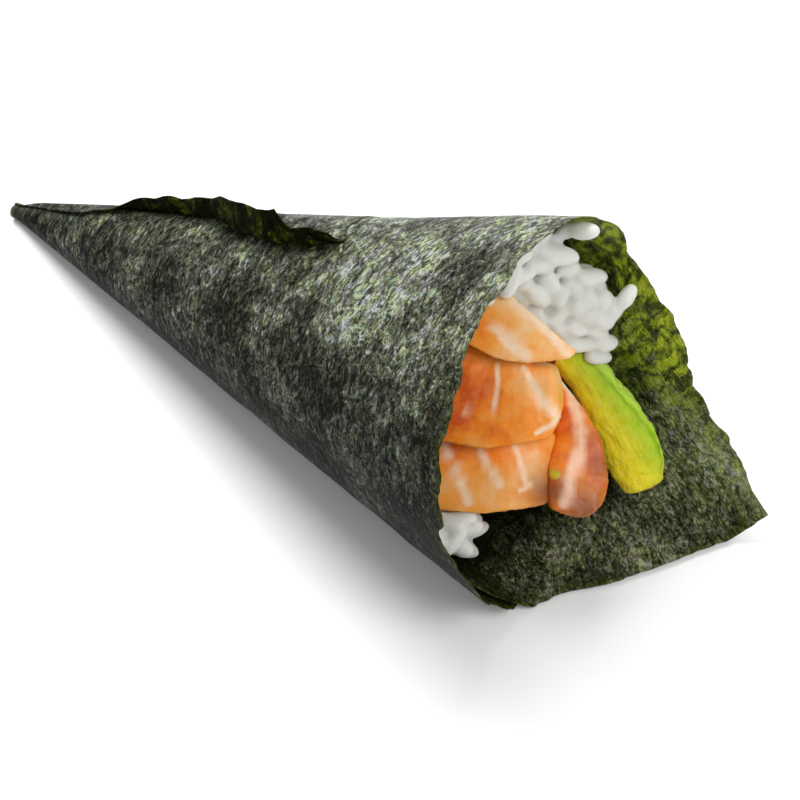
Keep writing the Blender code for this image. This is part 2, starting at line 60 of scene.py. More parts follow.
# Cone and sheet, as in the CAD
HALF = math.radians(14.1)
TILT = math.radians(14.45)
TIP_RADIUS = 0.45
TIP_LENGTH = 1.3
LAYER_PITCH = 0.7
FLOOR_SINK = 0.06
OVAL_COS = (-0.091, -0.027)
OVAL_SIN = (0.106, 0.060)
SHEET_START = (-155.0, 102.5)
SHEET_CORNER = (-59.0, 136.0)
SHEET_NEAR = (197.0, 112.3)
SHEET_LOW = (253.0, 109.3)
SHEET_END = (453.0, 71.5)
LOOSE_FROM = 429.0
LOOSE_REACH = (21.0, 26.5)
LOOSE_FOLD = [(22, -14), (29, -12), (35, -8), (43, -6), (51, 4), (59, 10), (64, 10), (72, 6)]
LOOSE_HEIGHT = [(22, 1.8), (26, 3.0), (30, 3.4), (36, 4.1), (42, 5.0), (48, 6.4), (51, 7.4), (54, 7.7),
                (57, 8.0), (60, 7.4), (61.5, 6.2), (63, 4.4), (67, 4.2), (70, 3.6), (72, 1.5)]
LOOSE_BEND = [(22, 72), (36, 78), (43, 84), (48, 90), (54, 98), (57, 100), (60, 113), (63, 100),
              (68, 95), (72, 80)]
HUG = 0.36
HUG_FROM = (340.0, 405.0)
WAVE_HEIGHT = 0.3
# Share of the height, number of waves in a turn, their slant in radians per mm, and their start
WAVES = [(0.6, 3, 0.055, 0.6), (0.4, 7, -0.08, 2.1)]
WAVE_REACH = (15.0, 90.0)
FAR_WAVE_REACH = (70.0, 120.0)
RIM_WEAR = 0.5
WEAR_FROM = (60.0, 80.0)
CORNER_CALM = 14.0
TOP_RISE = 1.5
TOP_RISE_AT = (48.0, 14.0)
TOP_RISE_REACH = (72.0, 112.0)
RIM_BUMPS = [
    (-155, 0.0), (-122, 0.8), (-107, -0.2), (-95, 0.9), (-77, 1.3), (-70, 1.0), (-59, 0.0),
    (-54, -0.8), (-47, 0.0), (-38, 0.7), (-35, -0.4), (-29, 0.1), (-22, 0.1), (-17, 1.0),
    (-10, 1.9), (2, 2.1), (7, 0.6), (13, 0.1), (23, -0.6), (28, 0.2), (32, 1.2), (37, 2.0),
    (42, 0.8), (52, 0.5), (66, 0.0), (375, 0.0), (390, -2.5), (410, -2.5), (430, 0.0),
]
RIM_FINER = [
    (48, 0.0), (58, 0.6), (66, 0.9), (90, 1.0), (95, 1.1), (100, 1.4), (105, 2.1), (110, 2.4),
    (115, 2.1), (120, 1.9), (125, 2.2), (130, 2.0), (145, 2.2), (150, 2.2), (155, 1.9), (160, 1.3),
    (165, 0.7), (170, 0.0),
]
TIP_SWELL = 0.5
TIP_SWELL_AT = (40.0, 42.0)
TIP_SWELL_REACH = (0.0, 4.0, 20.0, 60.0)
CAD_THICKNESS = 0.4
AXIS_LIFT = TIP_RADIUS + LAYER_PITCH * (270.0 - SHEET_START[0]) / 360.0 + CAD_THICKNESS / 2
ROW_PLACE = np.array([-66.569, -0.647, AXIS_LIFT])
ROW_TURN = np.array([
    [math.cos(TILT), 0.0, math.sin(TILT) - FLOOR_SINK * math.tan(HALF)],
    [0.0, 1.0, 0.0],
    [-math.sin(TILT), 0.0, math.cos(TILT)],
])

# Sheet as shown
NORI_THICKNESS = 0.26
SHEET_ROWS = 74
COLUMNS_PER_RUN = (100, 266, 58, 183)
LOOSE_COLUMNS = 16
LOOSE_STEPS = 6
CRINKLE = 0.16
CREASE_SHARE = 0.35
RIM_TEAR = 0.42
RIM_FRAY = 0.35
LOOSE_TEAR = 0.35
BOX_MARGIN = 0.03
# Light and shade painted on the sheet: azimuths or reaches at which each starts, is full, fades and ends
GLOW_AZIMUTHS = (-75.0, -45.0, 38.0, 62.0)
GLOW_STRONG_AZIMUTHS = (-42.0, -12.0)
GLOW_REACH = (86.0, 98.0)
LOOSE_SHADE_REACH = (18.0, 24.0)
LOW_SHADE_AZIMUTHS = (150.0, 185.0, 240.0, 260.0)
UNDER_SHADE_REACH = (70.0, 84.0, 97.0, 108.0)
START_SHADE_AZIMUTHS = (-138.0, -112.0)
UNDER_SHADE_AZIMUTHS = (-85.0, -55.0)
WALL_SHADE_AZIMUTHS = (95.0, 115.0, 145.0)
GLINT_AT = (106.0, 88.0)
GLINT_SIZE = 20.0
FLAP_LIGHT = (-45.0, 18.0)
FLAP_LIGHT_REACH = (100.0, 112.0)
SHEEN_AZIMUTHS = (32.0, 42.0, 64.0, 84.0)
SHEEN_REACH = (30.0, 70.0)

# Rice
RICE_BACK = 22.0
RICE_FRONT = 94.0
RICE_UPPER_RISE = 5.5
RICE_LOWER_DROP = 10.0
RICE_LEVEL = (-0.63, 0.776)
# Lumps: across, up, spread and rise. Side: height, and how far across the heap reaches there
RICE_LUMPS = [(20.5, 4.5, 6.0, 7.6), (-17.5, -11.5, 4.5, 6.6)]
RICE_SIDE = [
    (-8, 12.5), (-6, 13.6), (-2, 15.0), (1, 16.5), (4, 17.8), (7, 19.4), (10, 20.2),
    (13, 19.0), (16, 17.8), (19, 17.2), (23, 16.5), (28, 13.0),
]
RICE_SIDE_DROP = 11.0
SLICE_RECESS = 6.5
CORE_COLUMNS = 96
CORE_RINGS = 30
CORE_FRONT_RINGS = 22
CORE_GAP = 0.6
GRAIN_LENGTH = 5.8
GRAIN_WIDTH = 2.9
GRAIN_RINGS = 9
GRAIN_SIDES = 12
GRAIN_SPIN = 2.399
GRAIN_BLUNTNESS = 0.78
GRAIN_PUSHES = 8
GRAIN_WALL_GAP = 0.3
FILLING_GAP = 0.9
# Depth in front of the heap, spacing, number of tries, and whether they lie low
GRAIN_PASSES = [(0.0, 2.45, 9000, False), (-1.5, 2.6, 5000, False), (0.0, 2.6, 9000, True)]
TONE_STEP = 12.9898
FUSE_STEP = 0.34
FUSE_SMOOTHING = 3
FUSE_PULL = 0.6

# Fillings: centre, way the broad face looks, width and thickness, from back to front
FACING = (0.49, -0.42, 0.76)
SALMON_TOP = [
    ((55.0, 1.0, 8.2), (0.1, -0.2, 1.0), 7.0, 3.0),
    ((72.0, 1.8, 15.0), (0.15, -0.3, 0.95), 9.0, 3.2),
    ((84.0, 3.0, 19.6), (0.2, -0.35, 0.9), 10.0, 3.5),
    ((90.9, 4.2, 18.9), (0.4, -0.4, 0.8), 11.8, 3.5),
    ((97.6, 5.4, 16.3), (0.55, -0.5, 0.65), 10.6, 3.5),
    ((103.0, 6.6, 12.0), (0.55, -0.5, 0.65), 6.8, 3.2),
    ((106.8, 8.3, 9.9), (0.5, -0.5, 0.7), 3.2, 2.6),
]
SALMON_MIDDLE = [
    ((52.0, -0.6, 2.8), (0.1, -0.2, 1.0), 8.0, 4.6),
    ((70.0, -2.6, 6.2), (0.15, -0.3, 0.95), 9.5, 6.5),
    ((83.3, -4.2, 6.8), (0.2, -0.3, 0.93), 11.5, 7.5),
    ((90.0, -3.6, 5.6), FACING, 15.5, 8.0),
    ((96.6, -1.3, 2.8), FACING, 15.0, 8.5),
    ((102.2, 2.0, 1.5), FACING, 12.6, 8.5),
    ((105.6, 4.0, 1.6), FACING, 9.6, 7.0),
]
SALMON_LOWER = [
    ((54.0, -2.8, -3.2), (0.1, -0.3, 0.95), 8.0, 3.8),
    ((70.0, -7.0, -2.6), (0.15, -0.35, 0.92), 9.5, 4.6),
    ((83.5, -10.2, -1.8), (0.2, -0.4, 0.9), 11.0, 5.0),
    ((91.3, -10.8, -3.4), FACING, 12.5, 5.0),
    ((97.2, -8.8, -5.8), FACING, 13.0, 5.5),
    ((102.4, -5.2, -6.8), FACING, 11.4, 5.5),
    ((105.8, -1.2, -8.0), FACING, 9.0, 4.5),
    ((108.3, 2.2, -10.2), FACING, 7.0, 3.6),
]
SALMON_RIGHT = [
    ((58.0, 5.6, -2.6), (0.1, 0.1, 1.0), 5.0, 4.0),
    ((76.0, 6.0, 0.8), (0.15, -0.1, 0.97), 6.0, 4.4),
    ((89.5, 7.4, 3.2), (0.2, -0.2, 0.95), 6.6, 4.5),
    ((97.5, 10.0, 1.6), (0.4, -0.32, 0.85), 6.0, 4.5),
    ((103.3, 9.9, -3.2), (0.56, -0.4, 0.73), 5.8, 4.5),
    ((107.8, 5.4, -6.2), (0.56, -0.4, 0.73), 7.4, 4.5),
    ((110.5, -0.4, -9.3), (0.56, -0.4, 0.73), 9.8, 4.5),
    ((112.4, -4.6, -11.8), (0.56, -0.4, 0.73), 7.6, 4.0),
]
AVOCADO = [
    ((56.0, 7.4, 3.4), (0.1, 0.3, 0.95), 5.6, 4.4),
    ((74.0, 11.0, 5.6), (0.15, 0.1, 0.98), 7.0, 5.4),
    ((89.4, 13.4, 4.4), (0.2, -0.1, 0.97), 8.0, 6.0),
    ((98.0, 14.6, 1.4), (0.4, -0.3, 0.86), 7.0, 6.0),
    ((103.7, 14.3, -4.2), (0.51, -0.43, 0.75), 7.0, 6.0),
    ((108.9, 12.6, -10.7), (0.51, -0.43, 0.75), 9.0, 6.5),
    ((113.2, 10.4, -15.1), (0.51, -0.43, 0.75), 9.4, 6.5),
    ((115.6, 8.2, -18.2), (0.51, -0.43, 0.75), 7.2, 5.5),
]
FILLINGS = {
    "salmon_top": SALMON_TOP,
    "salmon_middle": SALMON_MIDDLE,
    "salmon_lower": SALMON_LOWER,
    "salmon_right": SALMON_RIGHT,
    "avocado": AVOCADO,
}
# Cut sides of the slices of salmon, clockwise, in mm right of and above the middle of the view
SLICE_EDGES = {
    "salmon_top": [(14.7, 18.0), (27.0, 7.4), (26.2, 6.4), (19.5, 5.6), (14.7, 6.3), (9.5, 9.2)],
    "salmon_middle": [(5.0, 10.5), (24.6, 6.0), (25.5, 1.7), (24.9, -2.3), (22.9, -6.1), (19.5, -6.6),
                      (13.8, -7.7), (5.5, -6.0)],
    "salmon_lower": [(25.5, -5.5), (25.4, -11.3), (24.4, -15.9), (13.2, -17.4), (5.5, -16.9)],
    "salmon_right": [(24.5, 5.5), (28.6, -1.8), (30.7, -4.3), (32.1, -12.3), (31.2, -15.9), (28.8, -18.1),
                     (27.1, -18.3), (22.4, -16.4), (23.9, 5.2)],
}
SLICE_GROWTH = {"salmon_top": 0.40, "salmon_middle": 0.20, "salmon_lower": 0.18, "salmon_right": 0.10}

# How a slice is rounded off at its back and its front: how far on, and the share of the section
STRIP_STEPS = 150
STRIP_SIDES = 96
STRIP_BACK = [(-1.2, 0.3), (-1.0, 0.5), (-0.5, 0.85)]
STRIP_FRONT = [(0.25, 0.985), (0.5, 0.95), (0.75, 0.88), (0.95, 0.78), (1.1, 0.64), (1.2, 0.46),
               (1.26, 0.24)]

# Camera
CAMERA_PLACE = (137.163, -193.902, 402.240)
CAMERA_AZIMUTH = 33.33
CAMERA_ELEVATION = 59.44
CAMERA_LENS = 129.0735
VIEW_REACH = 440.0


def ramp(value, low, high):
    t = np.clip((value - low) / (high - low), 0.0, 1.0)
    return t * t * (3.0 - 2.0 * t)


def within(value, start, full, fade, end):
    return ramp(value, start, full) * (1.0 - ramp(value, fade, end))


def bell(value, middle, width):
    return np.exp(-((value - middle) / width) ** 2)


def unit(vectors):
    return vectors / np.maximum(1e-6, np.linalg.norm(vectors, axis=-1, keepdims=True))


def smooth_noise(points, scale, octaves, seed):
    """Smooth noise in about -1 to 1 at each of the points, its largest features scale mm wide."""
    flat = points.reshape(-1, 3) / scale + seed
    out = np.zeros(len(flat))
    for i, p in enumerate(flat):
        v = Vector(p)
        for octave in range(octaves):
            out[i] += 0.5 ** octave * noise.noise(v)
            v = v * 2.03
    return out.reshape(points.shape[:-1])


def along_table(value, rows):
    return np.interp(value, *zip(*rows))


# The sheet of nori

def oval(azimuth):
    a = np.radians(azimuth)
    out = 1.0
    for n, even, odd in zip((2, 3), OVAL_COS, OVAL_SIN):
        out = out + even * np.cos(n * a) + odd * np.sin(n * a)
    return out


def half_turn(azimuth):
    """The same azimuth, from -180 to 180."""
    return (azimuth + 180.0) % 360.0 - 180.0


def wave(azimuth, reach):
    a = np.radians(azimuth)
    slow, quick = [share * np.sin(n * a + slant * reach + start) for share, n, slant, start in WAVES]
    out = slow + quick * (0.4 + 0.6 * ramp(reach, *FAR_WAVE_REACH))
    top = bell(half_turn(azimuth), *TOP_RISE_AT)
    return WAVE_HEIGHT * ramp(reach, *WAVE_REACH) * out + TOP_RISE * top * ramp(reach, *TOP_RISE_REACH)


def layer(azimuth):
    return LAYER_PITCH * (azimuth - SHEET_START[0]) / 360.0


def to_row(points):
    return points @ ROW_TURN + ROW_PLACE


def from_row(points):
    return (points - ROW_PLACE) @ np.linalg.inv(ROW_TURN)


def view_axes():
    turn, rise = math.radians(CAMERA_AZIMUTH), math.radians(CAMERA_ELEVATION)
    right = np.array((math.cos(turn), math.sin(turn), 0.0))
    level = np.array((math.sin(turn), -math.cos(turn), 0.0))
    upright = np.array((0.0, 0.0, 1.0))
    up = math.cos(rise) * upright - math.sin(rise) * level
    return right, up, math.cos(rise) * level + math.sin(rise) * upright


def seen(row_points):
    """Where points show, in mm right of and above the middle of the view at VIEW_REACH, and how deep."""
    right, up, back = view_axes()
    q = row_points - np.array(CAMERA_PLACE)
    scale = VIEW_REACH / -(q @ back)
    return (q @ right) * scale, (q @ up) * scale, scale


def cut_edge(azimuth, first, second):
    span = math.radians(second[0] - first[0]) * math.sin(HALF)
    t = math.radians(azimuth - first[0]) * math.sin(HALF)
    low = first[1] * math.sin(t) + second[1] * math.sin(span - t)
    return first[1] * second[1] * math.sin(span) / low


def rim(azimuth):
    corners = [SHEET_START, SHEET_CORNER, SHEET_NEAR, SHEET_LOW, SHEET_END]
    out = 0.0
    for first, second in zip(corners, corners[1:]):
        if azimuth >= first[0] - 1e-6:
            out = cut_edge(azimuth, first, second)
    a = math.radians(azimuth)
    wear = math.sin(9.3 * a + 0.4) + 0.7 * math.sin(21.7 * a + 1.9)
    keep = min([1.0] + [abs(azimuth - corner[0]) / CORNER_CALM for corner in corners[1:-1]])
    keep *= ramp(azimuth, *WEAR_FROM)
    out += RIM_WEAR * wear * keep + along_table(azimuth, RIM_BUMPS)
    out += along_table(azimuth, RIM_FINER)
    arc = a * math.sin(HALF) * out
    tear = noise.noise(Vector((arc / 2.6, 3.1, 0.7))) + 0.6 * noise.noise(Vector((arc / 0.9, 8.2, 1.9)))
    fray = abs(noise.noise(Vector((arc / 1.3, 1.4, 5.5))))
    return out + (RIM_TEAR * tear - RIM_FRAY * fray) * min(1.0, abs(azimuth - SHEET_CORNER[0]) / 4.0)


def loose_length(reach):
    natural = math.radians(SHEET_END[0] - LOOSE_FROM) * reach * math.sin(HALF)
    k = ramp(reach, *LOOSE_REACH)
    wear = 0.3 * np.sin(0.42 * reach) + 0.2 * np.sin(0.95 * reach + 1.0)
    spots = np.stack([reach, np.full_like(reach, 4.4), np.full_like(reach, 2.2)], -1)
    wear = wear + LOOSE_TEAR * (smooth_noise(spots, 1.7, 2, 0.0) - 0.5)
    return natural * (1 - k) + (along_table(reach, LOOSE_HEIGHT) + wear) * k


def sheet_columns():
    stops = [SHEET_START[0], SHEET_CORNER[0], SHEET_NEAR[0], SHEET_LOW[0], LOOSE_FROM]
    runs = zip(stops, stops[1:], COLUMNS_PER_RUN)
    parts = [np.linspace(low, high, count, endpoint=False) for low, high, count in runs]
    return np.concatenate(parts + [np.linspace(LOOSE_FROM, SHEET_END[0], LOOSE_COLUMNS + 1)])


def sheet_arrays():
    """For each point: azimuth, how far it lies from the rim and from the tip, its place on the flat
    sheet and on the roll, and the way that its outer side looks."""
    azimuths = sheet_columns()
    share = 1.0 - (1.0 - np.arange(SHEET_ROWS + 1) / SHEET_ROWS) ** 1.35
    reach = np.array([rim(a) for a in azimuths])[:, None] * share - TIP_LENGTH * (1.0 - share) ** 8
    cone = np.maximum(0.0, reach)
    az = np.repeat(azimuths[:, None], SHEET_ROWS + 1, axis=1)
    theta = np.radians(az) * math.sin(HALF)
    flat = np.stack([reach * np.cos(theta), reach * np.sin(theta), np.zeros_like(reach)], -1)
    crinkle = smooth_noise(flat, 7.5, 3, 2.7) * ramp(reach, 8.0, 45.0)
    creases = 1.0 - 2.0 * np.abs(smooth_noise(flat, 11.0, 2, 9.1))
    lift = CRINKLE * (crinkle + CREASE_SHARE * creases * ramp(reach, 20.0, 70.0))

    fold = along_table(reach, LOOSE_FOLD) * ramp(reach, 12.0, 22.0)
    base = np.minimum(az, LOOSE_FROM)
    base = base + fold * ramp(base, LOOSE_FROM - 40.0, LOOSE_FROM)
    a = np.radians(base)
    ca, sa = np.cos(a), np.sin(a)
    r = TIP_RADIUS + cone * math.sin(HALF) * oval(base) + layer(base) + wave(base, cone) + lift
    r = r - HUG * ramp(base, *HUG_FROM)
    r = r + TIP_SWELL * bell(half_turn(base), *TIP_SWELL_AT) * within(cone, *TIP_SWELL_REACH)
    mid = np.stack([reach * math.cos(HALF), r * ca, r * sa], -1)

    # The loose end leaves the roll and bends up
    part = np.clip((az - LOOSE_FROM) / (SHEET_END[0] - LOOSE_FROM), 0.0, 1.0)
    length = loose_length(cone) * part
    turn = np.radians(along_table(cone, LOOSE_BEND)) * ramp(cone, *LOOSE_REACH)
    for k in range(LOOSE_STEPS):
        bend = turn * np.minimum(1.0, 1.6 * (k + 1) / LOOSE_STEPS * part)
        on, up = np.cos(bend) * ca + np.sin(bend) * sa, np.cos(bend) * sa - np.sin(bend) * ca
        mid[..., 1] -= length / LOOSE_STEPS * up
        mid[..., 2] += length / LOOSE_STEPS * on
    return az, reach[:, -1:] - reach, reach, flat, mid, np.stack([np.zeros_like(r), on, up], -1)


def add_object(name, data):
    obj = bpy.data.objects.new(name, data)
    bpy.context.scene.collection.objects.link(obj)
    return obj


def make_mesh(name, verts, faces):
    mesh = bpy.data.meshes.new(name)
    mesh.from_pydata([tuple(v) for v in verts * MM], [], [tuple(f) for f in faces])
    mesh.polygons.foreach_set("use_smooth", [True] * len(mesh.polygons))
    return add_object(name, mesh)


def paint(obj, name, *channels):
    data = np.ones((len(obj.data.vertices), 4))
    for i, channel in enumerate(channels):
        data[:, i] = channel
    colours = obj.data.color_attributes.new(name, "FLOAT_COLOR", "POINT")
    colours.data.foreach_set("color", data.ravel())


def lay_out(obj, places):
    """Writes one UV map from a place for each vertex."""
    index = [loop.vertex_index for loop in obj.data.loops]
    obj.data.uv_layers.new(name="sheet").data.foreach_set("uv", places[index].ravel())


def painted_sheet_light(az, depth, reach):
    """Painted light and shade on the sheet: light coming through it, a glow along its thin edges, shade
    on its loose end, shade and highlights on the roll, and a sheen along its top.
    """
    # Painted light coming through the sheet near its far rim, on its inside
    glow = (0.25 + 0.75 * ramp(az, *GLOW_STRONG_AZIMUTHS)) * within(az, *GLOW_AZIMUTHS)
    glow = glow * (0.15 + 0.85 * np.exp(-depth / 10.0)) * ramp(reach, *GLOW_REACH)
    # Painted glow of light through the thin sheet along its edges and tip
    edge = np.exp(-depth / 0.9)
    edge = np.maximum(edge, np.exp(-(SHEET_END[0] - az) * 0.35) * ramp(reach, 14.0, 22.0))
    edge = np.maximum(edge, np.exp(-(az - SHEET_START[0]) * 0.35))
    edge = np.maximum(edge, np.exp(-np.maximum(0.0, reach + TIP_LENGTH - 0.5) / 0.5))
    # Painted shade on the loose end
    loose = ramp(az, LOOSE_FROM - 1.0, LOOSE_FROM + 1.0) * ramp(reach, *LOOSE_SHADE_REACH)
    # Painted shade under the fillings, near the sheet's start, and low on the near wall
    under = np.maximum(within(reach, *UNDER_SHADE_REACH), 1.0 - ramp(az, *START_SHADE_AZIMUTHS))
    low = within(az, *LOW_SHADE_AZIMUTHS) * (0.6 + 0.4 * np.exp(-depth / 9.0))
    shade = np.maximum(low, under * (1.0 - ramp(az, *UNDER_SHADE_AZIMUTHS)))
    # A painted glint lightens the wall here; elsewhere the upper near wall gets painted shade
    glint = bell(az, GLINT_AT[0], GLINT_SIZE) * bell(reach, GLINT_AT[1], GLINT_SIZE)
    wall_shade = 0.22 * ramp(az, *WALL_SHADE_AZIMUTHS[:2]) + 0.24 * ramp(az, *WALL_SHADE_AZIMUTHS[1:])
    shade = shade + (1.0 - glint) * wall_shade - 0.70 * glint
    # Painted light on the flap
    shade = shade - 0.45 * bell(az, *FLAP_LIGHT) * ramp(reach, *FLAP_LIGHT_REACH)
    # Painted sheen along the top of the roll
    top = within(az % 360.0, *SHEEN_AZIMUTHS) * ramp(reach, *SHEEN_REACH)
    return glow, edge, loose, shade, top


def nori_sheet():
    az, depth, reach, flat, mid, out = sheet_arrays()
    columns, rows = reach.shape
    thick = NORI_THICKNESS * (1.0 - 0.35 * np.exp(-depth / 0.6))
    sides = []
    for side in (1, -1):
        q = to_row(mid + out * (side * thick / 2)[..., None])
        floor = NORI_THICKNESS * (1 - side) / 2 + LAYER_PITCH * (az < 90.0)
        q[..., 2] = np.clip(q[..., 2], floor, CAD_BOX[1][2] / MM - BOX_MARGIN)
        sides.append(q.reshape(-1, 3))
    count = columns * rows
    grid = np.arange(count).reshape(columns, rows)
    a = grid[:-1, :-1].ravel()
    quads = np.stack([a, a + 1, a + rows + 1, a + rows], 1)
    border = np.concatenate([grid[:, 0], grid[-1, 1:], grid[-2::-1, -1], grid[0, -2:0:-1]])
    after = np.roll(border, -1)
    edge = np.stack([border, after, after + count, border + count], 1)
    obj = make_mesh("nori_sheet", np.vstack(sides), np.vstack([quads, (quads + count)[:, ::-1], edge]))
    # Painted light and shade on both sides of the sheet
    sheet_light = [np.tile(tone.ravel(), 2) for tone in painted_sheet_light(az, depth, reach)]
    paint(obj, "sheet_side_and_glow", np.repeat([0.0, 1.0], count), *sheet_light[:2])
    paint(obj, "sheet_shade_and_sheen", *sheet_light[2:])
    lay_out(obj, np.vstack([flat[..., :2].reshape(-1, 2)] * 2) * 0.01)
    return obj


# Fillings

def smooth_path(rows, steps):
    """Rows between the given ones, along a smooth curve through them."""
    rows = np.array(rows, float)
    p = np.vstack([2 * rows[:1] - rows[1:2], rows, 2 * rows[-1:] - rows[-2:-1]])
    i = np.minimum(steps.astype(int), len(rows) - 2)
    f = (steps - i)[:, None]
    a, b, c, d = [p[i + n] for n in range(4)]
    q = 2 * b + (c - a) * f + (2 * a - 5 * b + 4 * c - d) * f * f
    return 0.5 * (q + (3 * b - a - 3 * c + d) * f ** 3)


def strip_frame(stations, steps):
    path = smooth_path([(*c, *f, w, t) for c, f, w, t in stations], steps)
    centre = path[:, :3]
    along = unit(np.gradient(centre, axis=0))
    face = path[:, 3:6]
    face = unit(face - (face * along).sum(1)[:, None] * along)
    return centre, along, face, np.cross(along, face), path[:, 6], path[:, 7]


def trim(local, name):
    """Presses what stands outside the cut sides back to them, and keeps the slice inside the sheet."""
    row = to_row(local)
    right, up = view_axes()[:2]
    edges = SLICE_EDGES[name]
    front = ramp(local[:, 0], 84.0, 90.0)
    ragged = 0.22 * smooth_noise(local, 1.1, 2, 6.0)
    for a, b in zip(edges, edges[1:]):
        h, v, scale = seen(row)
        run = unit(np.subtract(b, a))
        out = -run[1] * (h - a[0]) + run[0] * (v - a[1]) + ragged
        push = 0.5 * (out + np.sqrt(out * out + 0.09)) * front / scale
        row = row - (push * -run[1])[:, None] * right - (push * run[0])[:, None] * up
    local = from_row(row)
    r = np.maximum(1e-6, np.hypot(local[:, 1], local[:, 2]))
    local[:, 1:] *= np.minimum(1.0, room_at(local, 0.25) / r)[:, None]
    return local


def tube_faces(rings, sides):
    """Faces of a closed tube: its rings of points, then the middles of its two ends."""
    faces = []
    for i in range(rings - 1):
        for c in range(sides):
            d = (c + 1) % sides
            faces.append((i * sides + c, i * sides + d, (i + 1) * sides + d, (i + 1) * sides + c))
    last = (rings - 1) * sides
    for c in range(sides):
        d = (c + 1) % sides
        faces.append((d, c, rings * sides))
        faces.append((last + c, last + d, rings * sides + 1))
    return faces


def strip(name, stations, power, rough, seed, cuts=None):
    """A loft through the stations. Returns the piece, the places of its vertices before they are
    set in the row, and where each lies in it: across from -1 to 1 and along from 0 to 1."""
    t = np.linspace(0.0, 1.0, STRIP_STEPS)
    steps = (len(stations) - 1) * (1.0 - (1.0 - t) ** 1.25)
    centre, along, face, side, width, thick = strip_frame(stations, steps)
    turn = np.arange(STRIP_SIDES) * 2 * math.pi / STRIP_SIDES
    ca = np.sign(np.cos(turn)) * np.abs(np.cos(turn)) ** (2 / power)
    sa = np.sign(np.sin(turn)) * np.abs(np.sin(turn)) ** (2 / power)
    plan = [(0, push, share) for push, share in STRIP_BACK]
    plan += [(i, 0.0, 1.0) for i in range(STRIP_STEPS)]
    plan += [(STRIP_STEPS - 1, push, share) for push, share in STRIP_FRONT]
    rings, marks = [], []
    for i, push, share in plan:
        w, h = width[i] / 2 * share, thick[i] / 2 * share
        ring = centre[i] + along[i] * push
        rings.append(ring + side[i] * (ca * w)[:, None] + face[i] * (sa * h)[:, None])
        marks.append(np.stack([ca * share, np.full(STRIP_SIDES, t[i])], 1))
    local = np.vstack(rings)
    middle = np.repeat(centre[[i for i, push, share in plan]], STRIP_SIDES, axis=0)
    bumps = smooth_noise(local, 4.2, 2, seed) + 0.5 * smooth_noise(local, 1.5, 2, seed + 5.0)
    local = local + unit(local - middle) * (rough * (bumps - 0.5))[:, None]
    if cuts is not None:
        grow = SLICE_GROWTH[cuts] * ramp(middle[:, 0], 78.0, 92.0)
        local = trim(middle + (local - middle) * (1.0 + grow)[:, None], cuts)
    local = np.vstack([local, local[:STRIP_SIDES].mean(0), local[-STRIP_SIDES:].mean(0)])
    marks = np.vstack(marks + [(0, 0), (0, 1)])
    obj = make_mesh(name, to_row(local), tube_faces(len(plan), STRIP_SIDES))
    lay_out(obj, marks * (0.06, 0.5))
    return obj, local, marks


def line_strength(local, lines):
    """1 on a line and 0 away from it, for each place; a line is its points and its width.
    The white layers run through the slice, away from the viewer."""
    out = np.zeros(len(local))
    wobble = smooth_noise(local, 1.6, 2, 3.3)
    places = np.stack(seen(to_row(local))[:2], 1)
    for points, width in lines:
        gaps = []
        for p, d in zip(points, np.diff(points, axis=0)):
            k = np.clip((places - p) @ d / (d @ d), 0.0, 1.0)
            gaps.append(np.linalg.norm(places - p - k[:, None] * d, axis=1))
        half = width / 2 * (1.0 + 0.35 * wobble)
        out = np.maximum(out, 1.0 - ramp(np.min(gaps, axis=0), half * 0.35, half * 1.45))
    return out


# White lines in the flesh: places right of and above the middle of the view, and the width of each
FAT_LINES = {
    "salmon_top": [
        ([(17.5, 15.0), (20.9, 12.3), (23.3, 9.7), (25.8, 7.1)], 1.4),
        ([(12.7, 12.6), (15.3, 10.4), (16.9, 8.7), (19.3, 6.9)], 1.3),
        ([(15.9, 9.8), (16.9, 8.7), (19.3, 6.9)], 2.1),
    ],
    "salmon_middle": [
        ([(14.9, 5.4), (15.0, 2.9), (14.9, 0.5), (14.3, -1.1)], 0.8),
        ([(19.0, 4.8), (20.6, 2.3), (22.1, -0.5), (23.6, -2.0)], 1.1),
        ([(22.1, -0.5), (23.6, -2.0)], 2.0),
        ([(9.8, -1.7), (13.5, -2.3)], 0.5),
        ([(20.9, -5.1), (23.3, -3.8), (24.5, -2.3)], 0.9),
    ],
    "salmon_lower": [
        ([(6.3, -6.0), (8.0, -9.4), (9.2, -12.7), (10.6, -15.8)], 1.5),
        ([(12.3, -7.8), (13.8, -10.6), (15.3, -13.0)], 1.3),
        ([(17.5, -6.6), (18.4, -9.4), (19.2, -12.4)], 1.0),
        ([(18.4, -14.0), (19.9, -13.0)], 0.8),
    ],
    "salmon_right": [
        ([(24.5, 4.8), (25.8, 1.7), (27.3, -2.0)], 1.2),
        ([(26.6, -0.3), (27.3, -2.0), (27.9, -5.7), (27.0, -9.4), (26.1, -12.4), (25.2, -15.8)], 2.0),
    ],
}
SMEAR_AT = (23.8, -11.5)
SMEARED = ("salmon_lower", "salmon_right")

# How deep each slice's colour is, partly its own colour and partly painted shade. Spots in the flesh:
# right of and above the middle of the view, size, how much deeper (painted shade; below zero, a painted
# highlight), and how much painted brown shade
FLESH_BASE = {"salmon_top": 0.17, "salmon_middle": 0.42, "salmon_lower": 0.28, "salmon_right": 0.58}
FLESH_SPOTS = {
    "salmon_top": [(11.5, 10.0, 3.6, 0.42, 0.0), (24.0, 8.0, 3.0, 0.10, 0.0)],
    "salmon_middle": [(8.0, 0.0, 6.0, 0.62, 0.0), (22.0, 3.0, 2.6, -0.15, 0.0),
                      (25.2, 3.5, 1.3, -0.40, 0.0), (17.0, -5.5, 3.0, 0.12, 0.0)],
    "salmon_lower": [(22.6, -14.2, 3.4, 0.15, 0.95), (7.0, -7.5, 3.2, 0.50, 0.0),
                     (14.0, -9.0, 3.0, 0.20, 0.0)],
    "salmon_right": [(24.8, -3.5, 3.0, 0.35, 0.0), (28.5, -17.0, 5.2, 0.1, 1.0),
                     (31.3, -10.0, 3.4, 0.1, 0.85), (24.0, -14.0, 3.0, 0.1, 0.95),
                     (29.5, -6.0, 3.5, 0.0, 0.55)],
}


